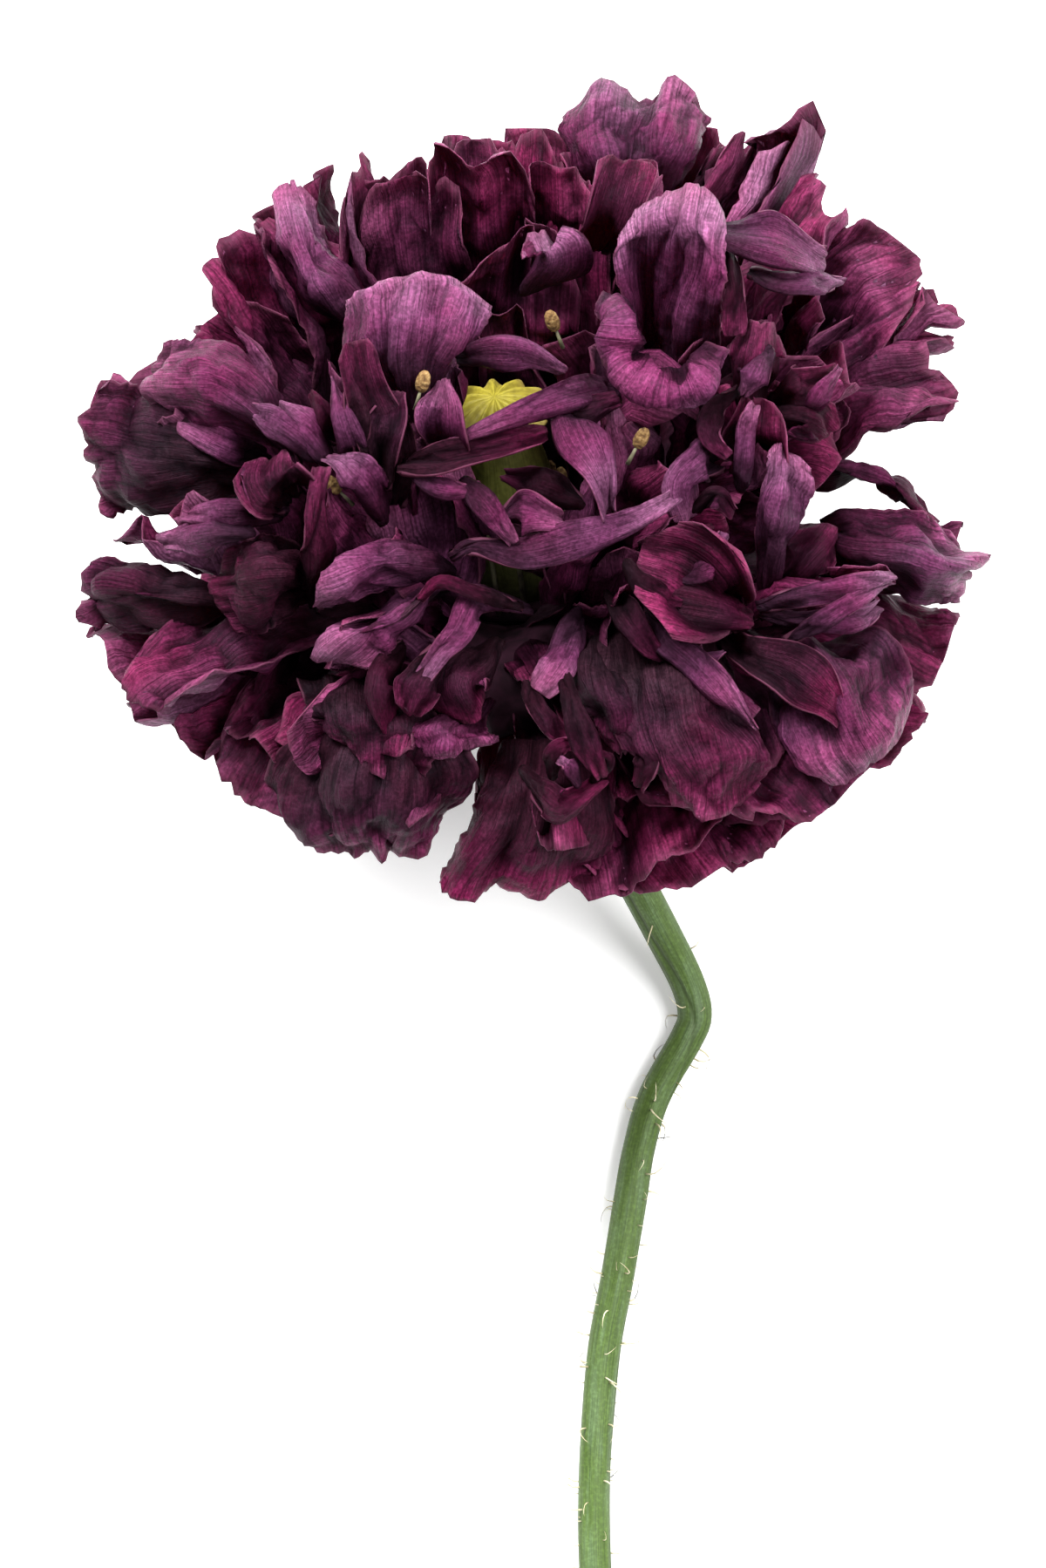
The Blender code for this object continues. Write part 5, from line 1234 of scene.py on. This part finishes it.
# ---- Pistil
# The seed head: a smooth olive ovary under a yellow stigma disc, whose velvety rays stand up from
# its middle and end in a scalloped, papery rim. It grows straight out of the receptacle.
OVARY = (                        # radius and height along the flower's axis, mm
    (0, 0.9), (2.6, 0.9), (4.3, 1.8), (5.1, 5.0), (5.5, 11.0), (5.2, 17.0), (4.3, 22.0), (3.5, 24.4),
)
STIGMA = ((5.9, 24.9), (6.3, 25.4), (6.0, 25.9), (4.0, 27.0), (1.8, 28.0), (0, 28.4))
OVARY_RINGS, STIGMA_RINGS = 70, 60
RAYS = 12
RAY_RISE = (0.25, 0.45)          # how far a ray's broad foot and its sharp ridge stand up, mm


def rayed(k, radius, height, angle):
    """Radius and height round the seed head, whose rays swell the ovary and stand up on the disc."""
    ray = (1 + np.cos(RAYS * angle)) / 2
    if k < OVARY_RINGS:
        return radius * (1 + 0.02 * ray), height + 0 * angle
    ridge = np.exp(-((1 - ray) / 0.3) ** 2)
    rise = (RAY_RISE[0] * ray + RAY_RISE[1] * ridge) * min(radius / 3, 1)
    return radius * (0.9 + 0.1 * ray), height + rise


def pistil_material():
    material, tree, shader, spot = fresh_material("pistil_yellow_green")
    uv = node(tree, "ShaderNodeUVMap", uv_map="pistil").outputs[0]
    height = node(tree, "ShaderNodeSeparateXYZ", {0: uv}).outputs["Y"]
    colour = ramp(tree, height, (
        (0.0, (0.10, 0.10, 0.045)), (0.2, (0.15, 0.16, 0.05)), (0.45, (0.21, 0.22, 0.045)),
        (0.54, (0.24, 0.24, 0.05)), (0.56, (0.26, 0.18, 0.06)), (0.62, (0.30, 0.23, 0.05)),
        (0.7, (0.34, 0.28, 0.03)), (1.0, (0.38, 0.33, 0.03))))
    fibrous = stretched(tree, uv, 120, 8)
    colour, fibres = mottled(tree, colour, fibrous, 1, 3, (0.3, (0.72, 0.7, 0.6)), (0.7, (1.12, 1.12, 1.1)))
    colour, _ = mottled(tree, colour, spot, 1400, 3, (0.35, (0.8, 0.78, 0.7)), (0.65, (1.1, 1.1, 1.1)))
    feed(shader, {"Base Color": colour, "Roughness": 0.62, "Normal": bump(tree, fibres, 0.5, 0.00015)})
    return material


outline = np.concatenate([smooth_route(OVARY, OVARY_RINGS), smooth_route(STIGMA, STIGMA_RINGS)])
seed_head = ring_mesh("seed_head", turned_rings(outline, 12 * RAYS, rayed), False, "pistil")
seed_head.data.materials.append(pistil_material())
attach(seed_head, "root")
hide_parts("pistil")

# ---- Stamens
# A few pale filaments left among the petals, each with a small two-lobed anther dusted with
# ochre pollen. They stand on a low collar round the foot of the ovary.
STAMENS = 14
STAMEN_R = 6.6                   # how far they stand from the axis, mm
STAMEN_TALL = (11.5, 14.5)       # shortest and longest, mm above the receptacle
STAMEN_FOOT = 1.4                # where they leave the collar, mm above the receptacle
STAMEN_SEED = 7
LOOSE_ANTHERS = (                # caught among the petals: right, up, height mm, and which way it leans
    (-21.0, 33.5, 69, -0.8), (-11.8, 45.0, 73, 0.3), (13.0, 38.6, 72, 0.5), (10.2, 50.4, 62, 0.2),
    (3.8, 52.0, 60, -0.4),
)
LOOSE_STALK = (0.7, 0.7, 2.5)    # width, depth and length against a filament 1 mm long
LOOSE_HEAD = (1.1, 1.1, 0.95)    # size against the other anthers
FILAMENT = ((0.38, 0), (0.3, 0.5), (0.26, 1.0), (0.1, 1.02))   # radius and height of one 1 mm long
ANTHER = ((0.12, -0.1), (0.5, 0.2), (0.72, 0.9), (0.74, 1.6), (0.6, 2.5), (0.3, 3.0), (0.05, 3.1))
ANTHER_LOBES = 0.35              # depth of the furrow between its two lobes, as a share of the radius
ANTHER_FLAT = 0.75               # its thickness as a share of its width
COLLAR = ((4.9, 0.9), (7.1, 0.9), (7.1, 2.1), (4.9, 2.1), (4.9, 0.9))
FILAMENT_SIDES, ANTHER_SIDES, COLLAR_SIDES = 10, 16, 72


def lathe_shape(name, profile, sides, lobes=0.0, flat=1.0):
    """Shape that is repeated, turned about +Z from (radius, height) pairs, mm."""
    angle = 2 * math.pi * np.arange(sides) / sides
    rings = []
    for radius, height in profile:
        r = radius * (1 - lobes * np.abs(np.sin(angle)) ** 4)
        rings.append(np.stack([r * np.cos(angle), flat * r * np.sin(angle), height + 0 * angle], -1))
    return ring_mesh(name, np.array(rings) + MIDDLE, True, "shape")


def place_tree():
    """Geometry nodes that set a shape on every point, turned and stretched by its own values."""
    tree, given = new_tree("set_on_points", ())
    cloud = node(tree, "GeometryNodeMeshToPoints", {"Mesh": given["Geometry"]})
    turn = node(tree, "FunctionNodeEulerToRotation", {0: named(tree, "turn", "FLOAT_VECTOR")})
    set_shapes(tree, given, cloud.outputs[0], turn.outputs[0], named(tree, "size", "FLOAT_VECTOR"))
    return tree


def point_cloud(name, places, turns, sizes):
    mesh = bpy.data.meshes.new(name)
    mesh.from_pydata(((np.array(places) - MIDDLE) * MM).tolist(), [], [])
    for key, values in (("turn", turns), ("size", sizes)):
        attribute = mesh.attributes.new(key, "FLOAT_VECTOR", "POINT")
        attribute.data.foreach_set("vector", np.array(values, dtype=float).ravel())
    return mesh


def wavy_collar(k, radius, height, angle):
    return radius * (1 + 0.02 * np.cos(18 * angle)), height + 0 * angle


rng = np.random.default_rng(STAMEN_SEED)
upright = Vector(AXIS).to_track_quat("Z", "Y").to_euler()
feet, stalks, heads, sizes, turns = [], [], [], [], []
for k in range(STAMENS):
    angle = 2 * math.pi * (k + rng.uniform(-0.15, 0.15)) / STAMENS
    tall = rng.uniform(*STAMEN_TALL)
    foot = RECEPTACLE + around(angle, STAMEN_R)
    feet.append(foot + STAMEN_FOOT * AXIS)
    stalks.append((1, 1, tall - STAMEN_FOOT))
    heads.append(foot + tall * AXIS)
    sizes.append((1, 1, 1))
    turns.append(tuple(upright))
for x, y, z, aside in LOOSE_ANTHERS:
    lean = Vector((math.sin(aside), math.cos(aside), 0.8))
    heads.append(placed((x, y, z)))
    feet.append(heads[-1] - LOOSE_STALK[2] * np.array(lean.normalized()))
    stalks.append(LOOSE_STALK)
    sizes.append(LOOSE_HEAD)
    turns.append(tuple(lean.to_track_quat("Z", "Y").to_euler()))

setter = place_tree()
stalk_pale = plain_material("filament_grey_green", 700, 3, (
    (0.35, (0.09, 0.075, 0.05)), (0.65, (0.20, 0.19, 0.11))), {"Roughness": 0.6})
filaments = grown("filaments", point_cloud("filament_feet", feet, turns, stalks), setter, {
    "Shape": lathe_shape("filament", FILAMENT, FILAMENT_SIDES), "Material": stalk_pale})
pollen = plain_material("anther_ochre", 2200, 3, (
    (0.3, (0.07, 0.03, 0.010)), (0.5, (0.19, 0.10, 0.03)), (0.7, (0.36, 0.23, 0.09))),
    {"Roughness": 0.8}, (0.8, 0.0002))
anthers = grown("anthers", point_cloud("anther_places", heads, turns, sizes), setter, {
    "Shape": lathe_shape("anther", ANTHER, ANTHER_SIDES, ANTHER_LOBES, ANTHER_FLAT), "Material": pollen})
collar = ring_mesh("stamen_collar", turned_rings(COLLAR, COLLAR_SIDES, wavy_collar), False, "collar")
# The collar takes the same near black, partly painted shade deep in the bloom.
collar.data.materials.append(foot_dark)
for piece in (filaments, anthers, collar):
    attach(piece, "root")
    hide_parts("stamens")

# ---- Stage, light and camera
# A pale matt table under soft, even studio light: a wide lamp beyond the bloom, a weaker one to the right,
# and a camera that looks straight down from above. The table also glows faintly, painted light that keeps
# it white in the bloom's shadow.
LAMPS = (                        # name, place m, width m, power W
    ("softbox_key", (-0.35, 0.75, 0.9), 0.5, 36),
    ("softbox_fill", (0.6, 0.2, 0.9), 0.6, 17),
)
bpy.ops.mesh.primitive_plane_add(size=4, location=(0, 0, 0))
floor = bpy.context.object
floor.name = "table_top"
paper = bpy.data.materials.new("table_white")
paper.use_nodes = True
# Painted light: the table glows a little, so its shadows stay white and the petals are lit from below.
feed(paper.node_tree.nodes["Principled BSDF"], {
    "Base Color": (0.92, 0.92, 0.92, 1), "Roughness": 0.9,
    "Emission Color": (1, 1, 1, 1), "Emission Strength": 0.3})
floor.data.materials.append(paper)

world = bpy.data.worlds.new("studio")
bpy.context.scene.world = world
world.use_nodes = True
feed(world.node_tree.nodes["Background"], {0: (1, 1, 1, 1), 1: 0.4})

for name, place, width, power in LAMPS:
    light = bpy.data.lights.new(name, "AREA")
    light.size = width
    light.energy = power
    lamp = in_scene(name, light)
    lamp.location = place
    lamp.rotation_euler = (-Vector(place)).to_track_quat("-Z", "Y").to_euler()

camera = bpy.data.cameras.new("camera")
camera.sensor_fit = "VERTICAL"
camera.sensor_height = 36
camera.lens = 140.08             # mm, for the photograph's framing
eye = in_scene("camera", camera)
eye.location = (-MIDDLE[0] * MM, -MIDDLE[1] * MM, EYE * MM)
bpy.context.scene.camera = eye
bpy.context.scene.view_settings.view_transform = "Standard"
